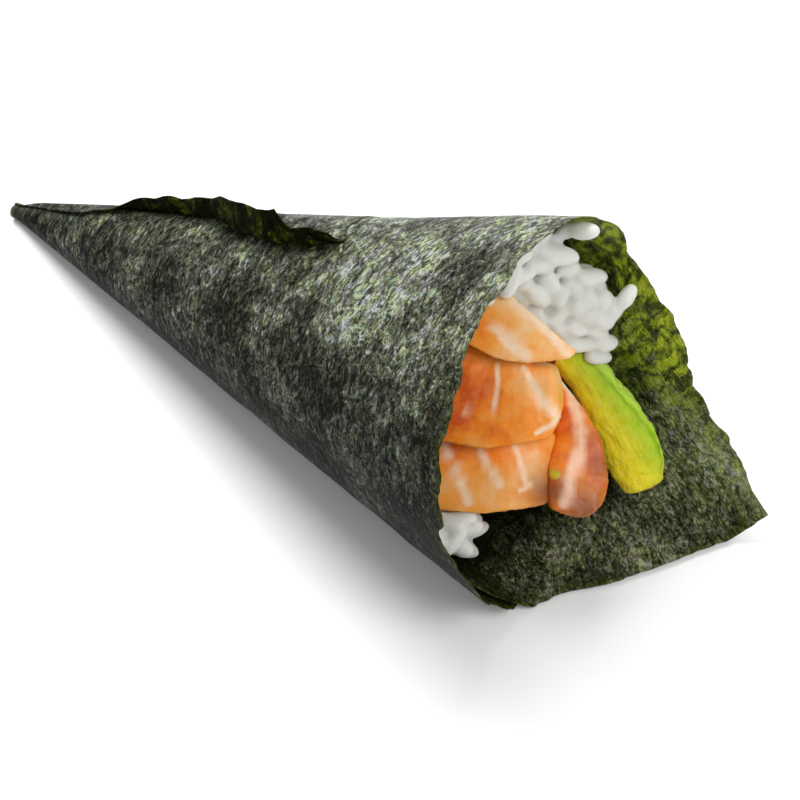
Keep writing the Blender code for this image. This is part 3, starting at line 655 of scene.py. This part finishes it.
def salmon_slices():
    out = []
    for i, name in enumerate(SLICE_EDGES):
        obj, local = strip(name + "_slice", FILLINGS[name], 4.0, 0.16, 11.0 * (i + 1), name)[:2]
        fat = line_strength(local, FAT_LINES[name])
        h, v = seen(to_row(local))[:2]
        # Depth of colour: the flesh's own, with painted shade and, below zero, painted highlights in its
        # spots
        deep_and_shade = FLESH_BASE[name] + 0.20 * smooth_noise(local, 5.0, 2, 4.0 + i)
        # Painted brown shade on the undersides
        flesh_shade = np.zeros(len(local))
        for x, y, size, more, shaded in FLESH_SPOTS[name]:
            near = np.exp(-((h - x) ** 2 + (v - y) ** 2) / (size * size))
            deep_and_shade = deep_and_shade + more * near
            flesh_shade = np.maximum(flesh_shade, shaded * near)
        paint(obj, "flesh", fat * (1.0 - 0.55 * flesh_shade), np.clip(deep_and_shade, 0.0, 1.0), flesh_shade)
        away = np.hypot((h - SMEAR_AT[0]) / 1.25, v - SMEAR_AT[1])
        away = away + 0.3 * smooth_noise(local, 0.9, 2, 2.0)
        paint(obj, "smear", (1.0 - ramp(away, 0.50, 0.85)) * (name in SMEARED))
        out.append((obj, name))
    return out


def avocado_slice():
    obj, local, marks = strip("avocado_slice", AVOCADO, 2.6, 0.42, 77.0)
    paint(obj, "flesh", (marks[:, 0] + 1) / 2, marks[:, 1])
    return obj


def inside_fillings(points):
    hit = np.zeros(len(points), bool)
    for stations in FILLINGS.values():
        steps = np.linspace(0, len(stations) - 1, 60)
        centre, along, face, side, width, thick = strip_frame(stations, steps)
        d = points[:, None, :] - centre
        a, f, s = [np.abs((d * axis).sum(2)) for axis in (along, face, side)]
        f, s = f / (thick / 2 + FILLING_GAP), s / (width / 2 + FILLING_GAP)
        hit |= ((a < 0.8 + FILLING_GAP) & (f ** 3 + s ** 3 < 1.0)).any(1)
    return hit


# Rice

def room(along, azimuth, gap):
    """How far a thing may reach from the axis, at that azimuth, before it meets the sheet."""
    reach = along / math.cos(HALF)
    turn = (azimuth - SHEET_START[0]) % 360.0 + SHEET_START[0]
    bare = TIP_RADIUS + reach * math.sin(HALF) * oval(turn) + wave(turn, reach)
    r = np.where(turn > SHEET_START[0] + 350.0, bare, bare + layer(turn))
    r = r - NORI_THICKNESS / 2 - gap
    down = np.minimum(np.sin(np.radians(turn)), -1e-3)
    z0 = along * math.sin(TILT) + AXIS_LIFT - FLOOR_SINK * along * math.tan(HALF)
    floor = (z0 - (LAYER_PITCH * 1.2 + NORI_THICKNESS + gap)) / (-down * math.cos(TILT))
    return np.where(down < -0.2, np.minimum(r, floor), r)


def room_at(points, gap):
    return room(points[..., 0], np.degrees(np.arctan2(points[..., 2], points[..., 1])), gap)


def rice_front(across, up):
    """How far along the axis the heap's face stands at that place."""
    level = RICE_LEVEL[0] * across + RICE_LEVEL[1] * up
    edge = -5.0 - 0.45 * np.maximum(0.0, across)
    out = RICE_FRONT + RICE_UPPER_RISE * ramp(across, 2.0, 8.0) * ramp(level - edge, 0.0, 4.0)
    out = out - RICE_LOWER_DROP * (1.0 - ramp(level - edge, -6.0, 0.0))
    for y, u, spread, rise in RICE_LUMPS:
        out = out + rise * np.exp(-((across - y) ** 2 + (up - u) ** 2) / (2 * spread * spread))
    h, v = seen(to_row(np.stack([out, across, up], -1)))[:2]
    first, second = np.array(SLICE_EDGES["salmon_top"][:2])
    run = unit(second - first)
    below = run[1] * (h - first[0]) - run[0] * (v - first[1])
    behind = ramp(below, 0.0, 0.9) * ramp(v, 4.0, 6.0) * ramp(up, 6.0, 9.0)
    out = out - SLICE_RECESS * behind
    near = ramp(-across, 3.0, 6.0) * within(up, -8.5, -6.0, 18.0, 21.0)
    return out - RICE_SIDE_DROP * np.maximum(near, ramp(across - along_table(up, RICE_SIDE), 1.0, 4.5))


def rice_core(depth, skin):
    """A closed heap from that far behind its front (from the back where depth is None)."""
    az = 360.0 * np.arange(CORE_COLUMNS) / CORE_COLUMNS
    ca, sa = np.cos(np.radians(az)), np.sin(np.radians(az))
    rings = []
    for i in range(CORE_RINGS):
        s = np.full(CORE_COLUMNS, RICE_BACK)
        for attempt in range(6):
            r = room(s, az, CORE_GAP)
            end = rice_front(r * ca, r * sa) - skin - CORE_GAP
            start = RICE_BACK if depth is None else end - depth
            s = start + (end - start) * i / (CORE_RINGS - 1)
        r = room(s, az, CORE_GAP)
        rings.append(np.stack([s, r * ca, r * sa], 1))
    edge = rings[-1]
    for i in range(1, CORE_FRONT_RINGS):
        y, u = (edge[:, 1:] * (1.0 - i / CORE_FRONT_RINGS)).T
        rings.append(np.stack([rice_front(y, u) - skin, y, u], 1))
    ends = [(rings[0][:, 0].mean(), 0.0, 0.0), (rice_front(0.0, 0.0) - skin, 0.0, 0.0)]
    return np.vstack(rings + [ends]), tube_faces(len(rings), CORE_COLUMNS)


def grain(centre, direction, length, width, bend, seed):
    """A cooked grain: plump, slightly bent, and slimmer toward one end."""
    d = unit(direction)
    u = unit(np.cross(d, (0.0, 0.0, 1.0) if abs(d[2]) < 0.8 else (1.0, 0.0, 0.0)))
    v = np.cross(d, u)
    spin = seed * GRAIN_SPIN
    u, v = u * math.cos(spin) + v * math.sin(spin), v * math.cos(spin) - u * math.sin(spin)
    verts = []
    for i in range(1, GRAIN_RINGS + 1):
        k = math.pi * i / (GRAIN_RINGS + 1)
        along = -math.cos(k)
        round_ = math.sin(k) ** GRAIN_BLUNTNESS
        for j in range(GRAIN_SIDES):
            a = 2 * math.pi * j / GRAIN_SIDES
            share = round_ * (1.0 + 0.10 * math.cos(2 * a)) * (1.0 - 0.07 * along)
            q = centre + d * along * length / 2
            q = q + (u * math.cos(a) + v * math.sin(a)) * share * width / 2
            verts.append(q + u * bend * (1.0 - along * along) * 0.5)
    verts += [centre - d * length / 2, centre + d * length / 2]
    return np.array(verts), tube_faces(GRAIN_RINGS, GRAIN_SIDES)


# Grains that stand out from the heap: the two ends of each
KEY_GRAINS = [
    ((101.5, 21.1, 21.2), (106.5, 22.2, 22.1)), ((99.5, 20.9, 19.6), (102.5, 21.8, 21.6)),
    ((97.5, 18.2, 18.9), (100.8, 19.9, 20.1)), ((100.7, 15.5, 20.9), (102.8, 20.3, 16.3)),
    ((102.9, 18.5, 13.6), (105.0, 23.1, 10.1)), ((107.9, 20.6, 6.5), (108.7, 24.7, 8.2)),
    ((105.9, 21.6, 8.8), (106.4, 18.2, 7.2)), ((105.7, 17.1, 7.6), (107.5, 19.1, 4.1)),
    ((105.6, 15.8, 2.5), (107.0, 19.6, -0.7)), ((104.8, 14.2, 0.6), (106.5, 17.9, -3.0)),
    ((106.4, 17.4, 5.0), (108.2, 22.2, 7.2)), ((103.3, 14.6, 9.5), (104.7, 18.7, 10.1)),
    ((101.9, 13.6, 11.4), (101.9, 16.7, 13.7)), ((99.8, 12.1, 22.3), (100.6, 16.4, 17.1)),
    ((99.7, 8.2, 22.8), (99.8, 13.0, 19.5)), ((100.8, 17.0, 16.1), (102.4, 20.4, 13.6)),
    ((103.6, 18.5, 11.2), (105.6, 18.3, 8.1)), ((99.9, 11.4, 17.6), (101.1, 13.0, 12.6)),
    ((102.9, 13.3, 8.0), (105.0, 15.4, 5.2)), ((105.1, 15.6, 6.0), (106.0, 18.7, 1.6)),
    ((100.1, 14.6, 17.9), (101.4, 14.9, 13.0)), ((100.4, 18.5, 19.3), (99.4, 15.0, 21.7)),
    ((97.5, -16.3, -8.3), (101.0, -13.9, -8.7)), ((98.0, -16.5, -11.6), (101.5, -13.6, -10.6)),
    ((98.0, -18.0, -12.6), (101.0, -16.9, -14.3)), ((98.0, -16.7, -7.4), (98.4, -11.1, -14.0)),
    ((98.2, -16.5, -11.6), (98.6, -10.4, -16.8)), ((98.2, -18.0, -12.6), (98.6, -14.3, -19.2)),
]


def rice_slope(y, u):
    return unit(np.stack([np.ones_like(y), rice_front(y - 0.5, u) - rice_front(y + 0.5, u),
                          rice_front(y, u - 0.5) - rice_front(y, u + 0.5)], -1))


def loose_grains(rng, depth, count, low):
    """Centres, directions and sizes of grains that fit between the sheet and the fillings.
    Where low, they also cover what lies behind and under the fillings."""
    az = rng.uniform(0.0, 360.0, count)
    r = room(RICE_FRONT + 4.0, az, 0.2) * np.sqrt(rng.uniform(0.0, 1.0, count))
    y, u = r * np.cos(np.radians(az)), r * np.sin(np.radians(az))
    if low:
        share = room(rice_front(y, u), az, 0.2) / room(RICE_FRONT + 4.0, az, 0.2)
        r, y, u = r * share, y * share, u * share
    p = np.stack([rice_front(y, u) - 0.4 + depth + rng.uniform(-0.5, 0.5, count), y, u], 1)
    slope = rice_slope(y, u)
    spin = rng.uniform(0.0, 2 * math.pi, count)
    d = np.stack([rng.uniform(-0.3, 0.3, count), np.cos(spin), np.sin(spin)], 1)
    d = unit(d - (d * slope).sum(1)[:, None] * slope)
    d = unit(d + rng.uniform(-0.35, 0.35, count)[:, None] * slope)
    size = rng.uniform(0.9, 1.08, count)
    half = GRAIN_LENGTH * size / 2
    flat = np.stack([np.zeros(count), y, u], 1) / np.maximum(1e-6, r)[:, None]
    for push in range(GRAIN_PUSHES):
        fits = clear_of_sheet(p, d, half)
        p = np.where(fits[:, None], p, p - flat * 0.6)
    probes = np.stack([p + d * (half * k)[:, None] for k in (-0.9, -0.45, 0.0, 0.45, 0.9)], 1)
    fits = clear_of_sheet(p, d, half)
    fits &= ~inside_fillings(probes.reshape(-1, 3)).reshape(count, -1).any(1)
    if not low:
        fits &= (p[:, 1] > -4.0) | (p[:, 2] < -7.5) | (p[:, 2] > 20.0)
    return p[fits], d[fits], size[fits]


def clear_of_sheet(p, d, half):
    """Which grains lie wholly inside the sheet, from points round the middle and on the ends."""
    side = unit(np.cross(d, unit(p * (0.0, 1.0, 1.0))))
    other = np.cross(d, side)
    probes = [p + d * (half * k)[:, None] for k in (-1.0, 1.0)]
    for k, share in ((-0.75, 0.72), (-0.4, 0.95), (0.0, 1.1), (0.4, 0.95), (0.75, 0.72)):
        for turn in range(6):
            a = turn * math.pi / 3
            out = (side * math.cos(a) + other * math.sin(a)) * (share * GRAIN_WIDTH / 2)
            probes.append(p + d * (half * k)[:, None] + out)
    probes = np.stack(probes, 1)
    return (np.hypot(probes[..., 1], probes[..., 2]) < room_at(probes, GRAIN_WALL_GAP)).all(1)


def grain_plan():
    """Centre, direction and size of each grain; those that stand out come first."""
    rng = np.random.default_rng(23)
    centres, plan = [], []
    for first, second in KEY_GRAINS:
        p, q = np.array(first, float), np.array(second, float)
        length = np.linalg.norm(q - p)
        d = (q - p) / length
        middle = (p + q) / 2
        for push in range(GRAIN_PUSHES):
            if clear_of_sheet(middle[None], d[None], np.array([length / 2]))[0]:
                break
            middle = middle - 0.3 * unit(middle * (0.0, 1.0, 1.0))
        centres.append(middle)
        plan.append((middle, d, length / GRAIN_LENGTH))
    for depth, spacing, count, low in GRAIN_PASSES:
        for p, d, size in zip(*loose_grains(rng, depth, count, low)):
            if np.linalg.norm(np.array(centres) - p, axis=1).min() < spacing:
                continue
            centres.append(p)
            plan.append((p, d, size))
    return plan


def fused(verts, faces):
    """One skin over closed shapes that overlap, with its creases softened."""
    obj = make_mesh("rice_front", verts, faces)
    mod = obj.modifiers.new("fuse", "REMESH")
    mod.mode = "VOXEL"
    mod.voxel_size = FUSE_STEP * MM
    mesh = bpy.data.meshes.new_from_object(obj.evaluated_get(bpy.context.evaluated_depsgraph_get()))
    bpy.data.meshes.remove(obj.data)
    places = np.array([vertex.co[:] for vertex in mesh.vertices])
    edges = np.array([edge.vertices[:] for edge in mesh.edges])
    here, there = np.vstack([edges, edges[:, ::-1]]).T
    count = np.bincount(here)
    for step in range(FUSE_SMOOTHING):
        near = [np.bincount(here, places[there, axis]) / count for axis in range(3)]
        places = places + FUSE_PULL * (np.stack(near, 1) - places)
    out = [tuple(face.vertices) for face in mesh.polygons]
    bpy.data.meshes.remove(mesh)
    return places / MM, out


def rice_grains():
    front, faces = rice_core(7.0, 1.0)
    verts = [to_row(front)]
    total = len(front)
    plan = grain_plan()
    tree = KDTree(len(plan))
    for i, (p, d, size) in enumerate(plan):
        width = GRAIN_WIDTH * (0.9 + 0.1 * size)
        v, f = grain(p, d, GRAIN_LENGTH * size, width, 0.35 * math.sin(i * 1.7), i)
        verts.append(to_row(v))
        faces += [tuple(k + total for k in face) for face in f]
        total += len(v)
        tree.insert(to_row(p), i)
    tree.balance()
    skin, faces = fused(np.vstack(verts), faces)
    tone = np.array([0.5 + 0.5 * math.sin(tree.find(q)[1] * TONE_STEP) for q in skin])
    back, more = rice_core(None, 3.0)
    faces += [tuple(k + len(skin) for k in face) for face in more]
    tone = np.concatenate([tone, np.full(len(back), 0.5)])
    obj = make_mesh("rice_grains", np.vstack([skin, to_row(back)]), faces)
    paint(obj, "grain_tone", tone)
    return obj


# Materials

# Layers of the grain of nori: length and width in mm, angle, detail, roughness and distortion
BLOTCH = (2.4, 1.4, -55.0, 2.0, 0.55, 1.1)
FINE = (1.50, 0.95, -60.0, 2.0, 0.62, 1.8)
GRIT = (0.75, 0.58, 35.0, 2.0, 0.55, 1.4)
HUE = (2.6, 1.7, -50.0, 4.0, 0.6, 0.8)
PATCHES = (3.4, 2.2, 60.0, 4.0, 0.62, 0.5)
# Fibres of nori: length and width in mm, angle and sharpness
FIBRES = [(3.0, 1.30, -60.0, 1.6), (3.4, 1.30, 20.0, 1.8), (2.8, 1.20, -15.0, 2.0)]

# Colours along each ramp: place, red, green and blue
# The palest stops of the sheet's outside are painted glints of light as well as its pale fibres
NORI_OUTER = [
    (0.38, 0.002, 0.003, 0.001), (0.47, 0.010, 0.012, 0.005), (0.53, 0.034, 0.037, 0.020),
    (0.59, 0.115, 0.125, 0.095), (0.68, 0.400, 0.450, 0.380),
]
NORI_INNER = [
    (0.38, 0.003, 0.005, 0.001), (0.47, 0.016, 0.021, 0.006), (0.53, 0.048, 0.055, 0.024),
    (0.60, 0.150, 0.160, 0.100), (0.68, 0.360, 0.370, 0.280),
]
NORI_TINT = [
    (0.36, 0.80, 1.10, 1.00), (0.44, 1.05, 1.06, 0.42), (0.52, 1.00, 1.00, 0.92),
    (0.59, 1.08, 0.98, 1.30), (0.68, 0.80, 1.08, 0.98),
]
# Painted light coming through the sheet
NORI_LIT = [
    (0.20, 0.010, 0.018, 0.001), (0.42, 0.060, 0.090, 0.004), (0.62, 0.200, 0.270, 0.008),
    (0.85, 0.480, 0.580, 0.020),
]
# Painted glow of light through the thin sheet at its edges
NORI_EDGE_GLOW = [(0.35, 0.008, 0.010, 0.002), (0.65, 0.110, 0.125, 0.012)]
# Painted shade on the loose end
NORI_LOOSE_SHADE = [
    (0.30, 0.002, 0.003, 0.001), (0.66, 0.006, 0.008, 0.001), (0.90, 0.022, 0.028, 0.003),
    (1.00, 0.080, 0.100, 0.006),
]
SALMON_FLESH = [
    (0.05, 0.92, 0.58, 0.260), (0.35, 0.95, 0.40, 0.075), (0.60, 0.94, 0.275, 0.012),
    (0.90, 0.66, 0.090, 0.001),
]
# Painted shade on the undersides of the salmon
SALMON_SHADE = [(0.3, 0.18, 0.045, 0.010), (0.7, 0.33, 0.105, 0.036)]
SALMON_FAT = [(0.3, 0.94, 0.66, 0.42), (0.7, 0.97, 0.84, 0.68)]
SMEAR_COLOUR = (0.56, 0.50, 0.020, 1.0)
AVOCADO_FLESH = [
    (0.00, 0.76, 0.58, 0.006), (0.38, 0.70, 0.60, 0.006), (0.60, 0.50, 0.57, 0.008),
    (0.78, 0.36, 0.55, 0.010), (0.86, 0.18, 0.38, 0.006), (0.91, 0.38, 0.64, 0.030),
    (0.97, 0.52, 0.78, 0.100),
]
AVOCADO_GROOVE = (0.30, 0.38, 0.004, 1.0)
AVOCADO_END = (0.82, 0.64, 0.012, 1.0)
AVOCADO_MOTTLE = (0.62, 0.60, 0.10, 1.0)
RICE_COLOURS = [(0.2, 0.65, 0.665, 0.620), (0.8, 0.69, 0.70, 0.655)]
FLOOR_COLOURS = [(0.3, 0.90, 0.90, 0.90), (0.7, 0.92, 0.92, 0.92)]


class Shader:
    """Builds one procedural material."""

    def __init__(self, name):
        self.material = bpy.data.materials.new(name)
        self.material.use_nodes = True
        self.tree = self.material.node_tree

    def finished(self, settings):
        """The material, with these values on its surface."""
        surface = self.tree.nodes["Principled BSDF"]
        for key, value in settings.items():
            self.put(surface.inputs[key], value)
        return self.material

    def add(self, kind, inputs=None, **settings):
        node = self.tree.nodes.new(kind)
        for key, value in settings.items():
            setattr(node, key, value)
        for key, value in (inputs or {}).items():
            self.put(node.inputs[key], value)
        return node

    def put(self, socket, value):
        if isinstance(value, bpy.types.NodeSocket):
            self.tree.links.new(value, socket)
        else:
            socket.default_value = value

    def place(self):
        return self.add("ShaderNodeTexCoord").outputs["Object"]

    def sheet(self, scale):
        """Where a point lies on the flat sheet or along the strip, scaled."""
        vector = self.add("ShaderNodeUVMap", uv_map="sheet").outputs["UV"]
        return self.add("ShaderNodeMapping", {"Vector": vector, "Scale": scale}).outputs["Vector"]

    def noise(self, vector, scale, detail, roughness, distortion=0.0):
        node = self.add("ShaderNodeTexNoise", {"Vector": vector, "Scale": scale, "Detail": detail,
                                               "Roughness": roughness, "Distortion": distortion})
        return node.outputs["Fac"]

    def flecks(self, vector, length, width, turn, detail, roughness, distortion):
        """Noise with features that long and that wide, in mm, running at that angle."""
        node = self.add("ShaderNodeMapping", {"Vector": vector, "Scale": (length, width, 1.0),
                                              "Rotation": (0.0, 0.0, math.radians(turn))})
        node.vector_type = "TEXTURE"
        return self.noise(node.outputs["Vector"], 1.0, detail, roughness, distortion)

    def strands(self, vector, length, width, turn, sharp):
        """Fine raised fibres: thin bright lines of noise stretched one way."""
        ridge = self.math("SUBTRACT", self.flecks(vector, length, width, turn, 2.0, 0.55, 0.45), 0.5)
        slope = self.times(self.math("ABSOLUTE", ridge), 7.0)
        return self.math("POWER", self.math("SUBTRACT", 1.0, slope, clamp=True), sharp)

    def math(self, operation, *values, clamp=False):
        node = self.add("ShaderNodeMath", operation=operation, use_clamp=clamp)
        for socket, value in zip(node.inputs, values):
            self.put(socket, value)
        return node.outputs[0]

    def times(self, first, second, clamp=False):
        return self.math("MULTIPLY", first, second, clamp=clamp)

    def vary(self, value, layer, share):
        """The value, raised or lowered by a layer of noise."""
        return self.math("MULTIPLY_ADD", self.math("SUBTRACT", layer, 0.5), share, value)

    def spread(self, value, low, high, to_low=0.0, to_high=1.0):
        node = self.add("ShaderNodeMapRange", {"Value": value, "From Min": low, "From Max": high,
                                               "To Min": to_low, "To Max": to_high})
        return node.outputs[0]

    def ramp(self, value, stops):
        node = self.add("ShaderNodeValToRGB", {"Fac": value})
        while len(node.color_ramp.elements) < len(stops):
            node.color_ramp.elements.new(0.5)
        for element, (place, *colour) in zip(node.color_ramp.elements, stops):
            element.position = place
            element.color = (*colour, 1.0)
        return node.outputs["Color"]

    def mix(self, factor, first, second, blend="MIX"):
        node = self.add("ShaderNodeMix", data_type="RGBA", blend_type=blend)
        self.put(node.inputs[0], factor)
        self.put(node.inputs[6], first)
        self.put(node.inputs[7], second)
        return node.outputs[2]

    def parts(self, name):
        attribute = self.add("ShaderNodeAttribute", attribute_name=name)
        return tuple(self.add("ShaderNodeSeparateColor", {"Color": attribute.outputs["Color"]}).outputs)

    def bump(self, height, depth, strength, normal=None):
        node = self.add("ShaderNodeBump", {"Height": height, "Distance": depth * MM,
                                           "Strength": strength})
        if normal is not None:
            self.put(node.inputs["Normal"], normal)
        return node.outputs["Normal"]


def nori_material():
    s = Shader("nori_dry")
    # The side of the sheet, then painted light: its glow through the sheet and along its thin edges
    inside, glow, edge = s.parts("sheet_side_and_glow")
    # Painted shade on the loose end, painted shade and highlights, and painted sheen on the top
    loose, shade, top = s.parts("sheet_shade_and_sheen")
    mm = s.sheet((100.0, 100.0, 100.0))

    blotch = s.flecks(mm, *BLOTCH)
    fine = s.flecks(mm, *FINE)
    fibres = s.strands(mm, *FIBRES[0])
    for layer in FIBRES[1:]:
        fibres = s.math("MAXIMUM", fibres, s.strands(mm, *layer))

    # The sheet's grain, with the painted shade, highlights and sheen added in
    tone = 0.020
    for part, share in (
        (blotch, 0.30), (fine, 0.44), (s.flecks(mm, *GRIT), 0.17), (fibres, 0.06),
        (shade, -0.11), (top, 0.055), (loose, -0.16),
    ):
        tone = s.math("MULTIPLY_ADD", part, share, tone)
    tone = s.vary(tone, s.noise(mm, 0.085, 3.0, 0.55, 0.3), 0.36)
    colour = s.mix(inside, s.ramp(tone, NORI_OUTER), s.ramp(tone, NORI_INNER))
    tint = s.ramp(s.flecks(mm, *HUE), NORI_TINT)
    colour = s.mix(0.85, colour, s.mix(1.0, colour, tint, "MULTIPLY"))
    patch = s.spread(s.flecks(mm, *PATCHES), 0.40, 0.58)
    lit = s.math("MULTIPLY_ADD", patch, 0.55, s.times(tone, 0.55))
    # Painted light coming through the sheet on its inside
    colour = s.mix(s.times(glow, inside, clamp=True), colour, s.ramp(lit, NORI_LIT))
    # Painted glow along the thin edges
    colour = s.mix(s.times(edge, 0.6), colour, s.ramp(fine, NORI_EDGE_GLOW))
    band = s.math("MULTIPLY_ADD", patch, 0.6, s.times(fine, 0.6))
    # Painted shade on the loose end
    colour = s.mix(s.times(loose, 0.94), colour, s.ramp(band, NORI_LOOSE_SHADE))
    gloss = s.times(s.spread(tone, 0.42, 0.62, 0.05, 0.50), s.spread(loose, 0.0, 1.0, 1.0, 0.2))
    height = s.math("MULTIPLY_ADD", fibres, 0.5, s.times(fine, 0.5))
    return s.finished({
        "Base Color": colour,
        "Roughness": s.spread(fine, 0.3, 0.7, 0.55, 0.36),
        "Specular IOR Level": gloss,
        "Normal": s.bump(height, 0.18, 1.0, s.bump(blotch, 0.6, 0.8)),
    })


def salmon_material():
    s = Shader("salmon_raw")
    # The white lines, the depth of colour with its painted shade, and the painted brown shade
    fat, deep_and_shade, flesh_shade = s.parts("flesh")
    place = s.place()
    fine = s.noise(place, 900.0, 3.0, 0.55, 0.3)
    soft = s.noise(place, 260.0, 3.0, 0.5, 0.2)
    flakes = s.noise(place, 480.0, 3.0, 0.6, 1.2)
    flesh = s.ramp(s.vary(s.vary(deep_and_shade, soft, 0.7), fine, 0.3), SALMON_FLESH)
    # Painted brown shade on the undersides
    flesh = s.mix(s.times(flesh_shade, 0.95), flesh, s.ramp(fine, SALMON_SHADE))
    faint = s.times(s.spread(flakes, 0.50, 0.75), 0.08)
    white = s.math("MAXIMUM", s.times(fat, 0.80), faint)
    colour = s.mix(white, flesh, s.ramp(fine, SALMON_FAT))
    colour = s.mix(s.times(s.parts("smear")[0], 0.9), colour, SMEAR_COLOUR)
    return s.finished({
        "Base Color": colour,
        "Roughness": s.spread(fine, 0.3, 0.7, 0.28, 0.48),
        "Specular IOR Level": 0.25,
        "Subsurface Weight": 0.35,
        "Subsurface Radius": (1.0, 0.30, 0.08),
        "Subsurface Scale": 0.0012,
        "Normal": s.bump(s.math("ADD", flakes, soft), 0.18, 0.4),
    })


def avocado_material():
    s = Shader("avocado_flesh")
    across, along = s.parts("flesh")[:2]
    place = s.place()
    soft = s.noise(place, 300.0, 4.0, 0.6, 0.4)
    rough = s.noise(place, 900.0, 3.0, 0.6)
    ridges = s.noise(s.sheet((95.0, 22.0, 1.0)), 1.0, 3.0, 0.6, 0.8)
    where = s.vary(s.math("SUBTRACT", 1.0, across), soft, 0.16)
    where = s.math("ADD", where, s.spread(along, 0.40, 0.75, 0.16, -0.06))
    colour = s.ramp(where, AVOCADO_FLESH)
    colour = s.mix(s.spread(ridges, 0.42, 0.62, 0.22, 0.0), colour, AVOCADO_GROOVE)
    colour = s.mix(s.spread(along, 0.80, 0.97, 0.0, 0.55), colour, AVOCADO_END)
    colour = s.mix(s.spread(rough, 0.35, 0.7, 0.0, 0.25), colour, AVOCADO_MOTTLE)
    return s.finished({
        "Base Color": colour,
        "Roughness": s.spread(rough, 0.3, 0.7, 0.34, 0.55),
        "Specular IOR Level": 0.2,
        "Subsurface Weight": 0.2,
        "Subsurface Radius": (0.8, 1.0, 0.15),
        "Subsurface Scale": 0.001,
        "Normal": s.bump(s.math("ADD", s.math("ADD", rough, soft), ridges), 0.35, 0.8),
    })


def rice_material():
    s = Shader("rice_cooked")
    soft = s.noise(s.place(), 500.0, 3.0, 0.5)
    value = s.math("MULTIPLY_ADD", soft, 0.5, s.times(s.parts("grain_tone")[0], 0.5))
    return s.finished({
        "Base Color": s.ramp(value, RICE_COLOURS),
        "Roughness": s.spread(soft, 0.3, 0.7, 0.30, 0.48),
        "Specular IOR Level": 0.3,
        "Subsurface Weight": 0.8,
        "Subsurface Radius": (1.0, 0.95, 0.85),
        "Subsurface Scale": 0.0034,
        "Normal": s.bump(soft, 0.12, 0.5),
    })


def floor_material():
    s = Shader("floor_white")
    colour = s.ramp(s.noise(s.place(), 9.0, 3.0, 0.5), FLOOR_COLOURS)
    return s.finished({"Base Color": colour, "Roughness": 0.95, "Specular IOR Level": 0.1})


# Stage

FLOOR_SIZE = 3000.0
FLOOR_DROP = 0.02
FLOOR_STEPS = 12
SKY_STRENGTH = 0.46
# Name, place, target and size in metres, and watts
LIGHTS = [
    ("key", (-0.45, 0.35, 0.75), (0.0, 0.0, 0.02), (0.55, 0.55), 8.0),
    ("side", (-0.8, -0.15, 0.35), (0.0, 0.0, 0.02), (0.35, 0.7), 0.8),
    ("mouth", (0.50, -0.02, 0.78), (0.04, 0.0, 0.02), (0.35, 0.35), 3.35),
]


def add_floor():
    line = [FLOOR_SIZE * (i / FLOOR_STEPS - 0.5) for i in range(FLOOR_STEPS + 1)]
    verts = np.array([(x, y, -FLOOR_DROP) for x in line for y in line])
    side = FLOOR_STEPS + 1
    starts = [i * side + j for i in range(FLOOR_STEPS) for j in range(FLOOR_STEPS)]
    faces = [(a, a + side, a + side + 1, a + 1) for a in starts]
    floor = make_mesh("floor", verts, faces)
    floor.data.materials.append(floor_material())


def add_studio():
    world = bpy.data.worlds.new("studio")
    world.use_nodes = True
    background = world.node_tree.nodes["Background"]
    background.inputs["Color"].default_value = (1.0, 1.0, 1.0, 1.0)
    background.inputs["Strength"].default_value = SKY_STRENGTH
    bpy.context.scene.world = world
    for name, place_m, target_m, size_m, watts in LIGHTS:
        data = bpy.data.lights.new(name, "AREA")
        data.shape = "RECTANGLE"
        data.size, data.size_y = size_m
        data.energy = watts
        light = add_object(name, data)
        light.location = place_m
        light.rotation_euler = (Vector(target_m) - Vector(place_m)).to_track_quat("-Z", "Y").to_euler()
    bpy.context.scene.view_settings.view_transform = "Standard"


def add_camera():
    matrix = Matrix(view_axes()).transposed().to_4x4()
    matrix.translation = Vector(CAMERA_PLACE) * MM
    data = bpy.data.cameras.new("camera")
    data.lens = CAMERA_LENS
    data.sensor_width = 36.0
    data.clip_start = 0.01
    camera = add_object("camera", data)
    camera.matrix_world = matrix
    bpy.context.scene.camera = camera


def place(obj, node, slot, material):
    obj.data.materials.clear()
    obj.data.materials.append(material)
    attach(obj, "root")
    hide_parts(node)


place(nori_sheet(), "nori", "nori", nori_material())
salmon = salmon_material()
for piece, node in salmon_slices():
    place(piece, node, "salmon", salmon)
place(avocado_slice(), "avocado", "avocado", avocado_material())
place(rice_grains(), "rice", "rice", rice_material())
add_floor()
add_studio()
add_camera()
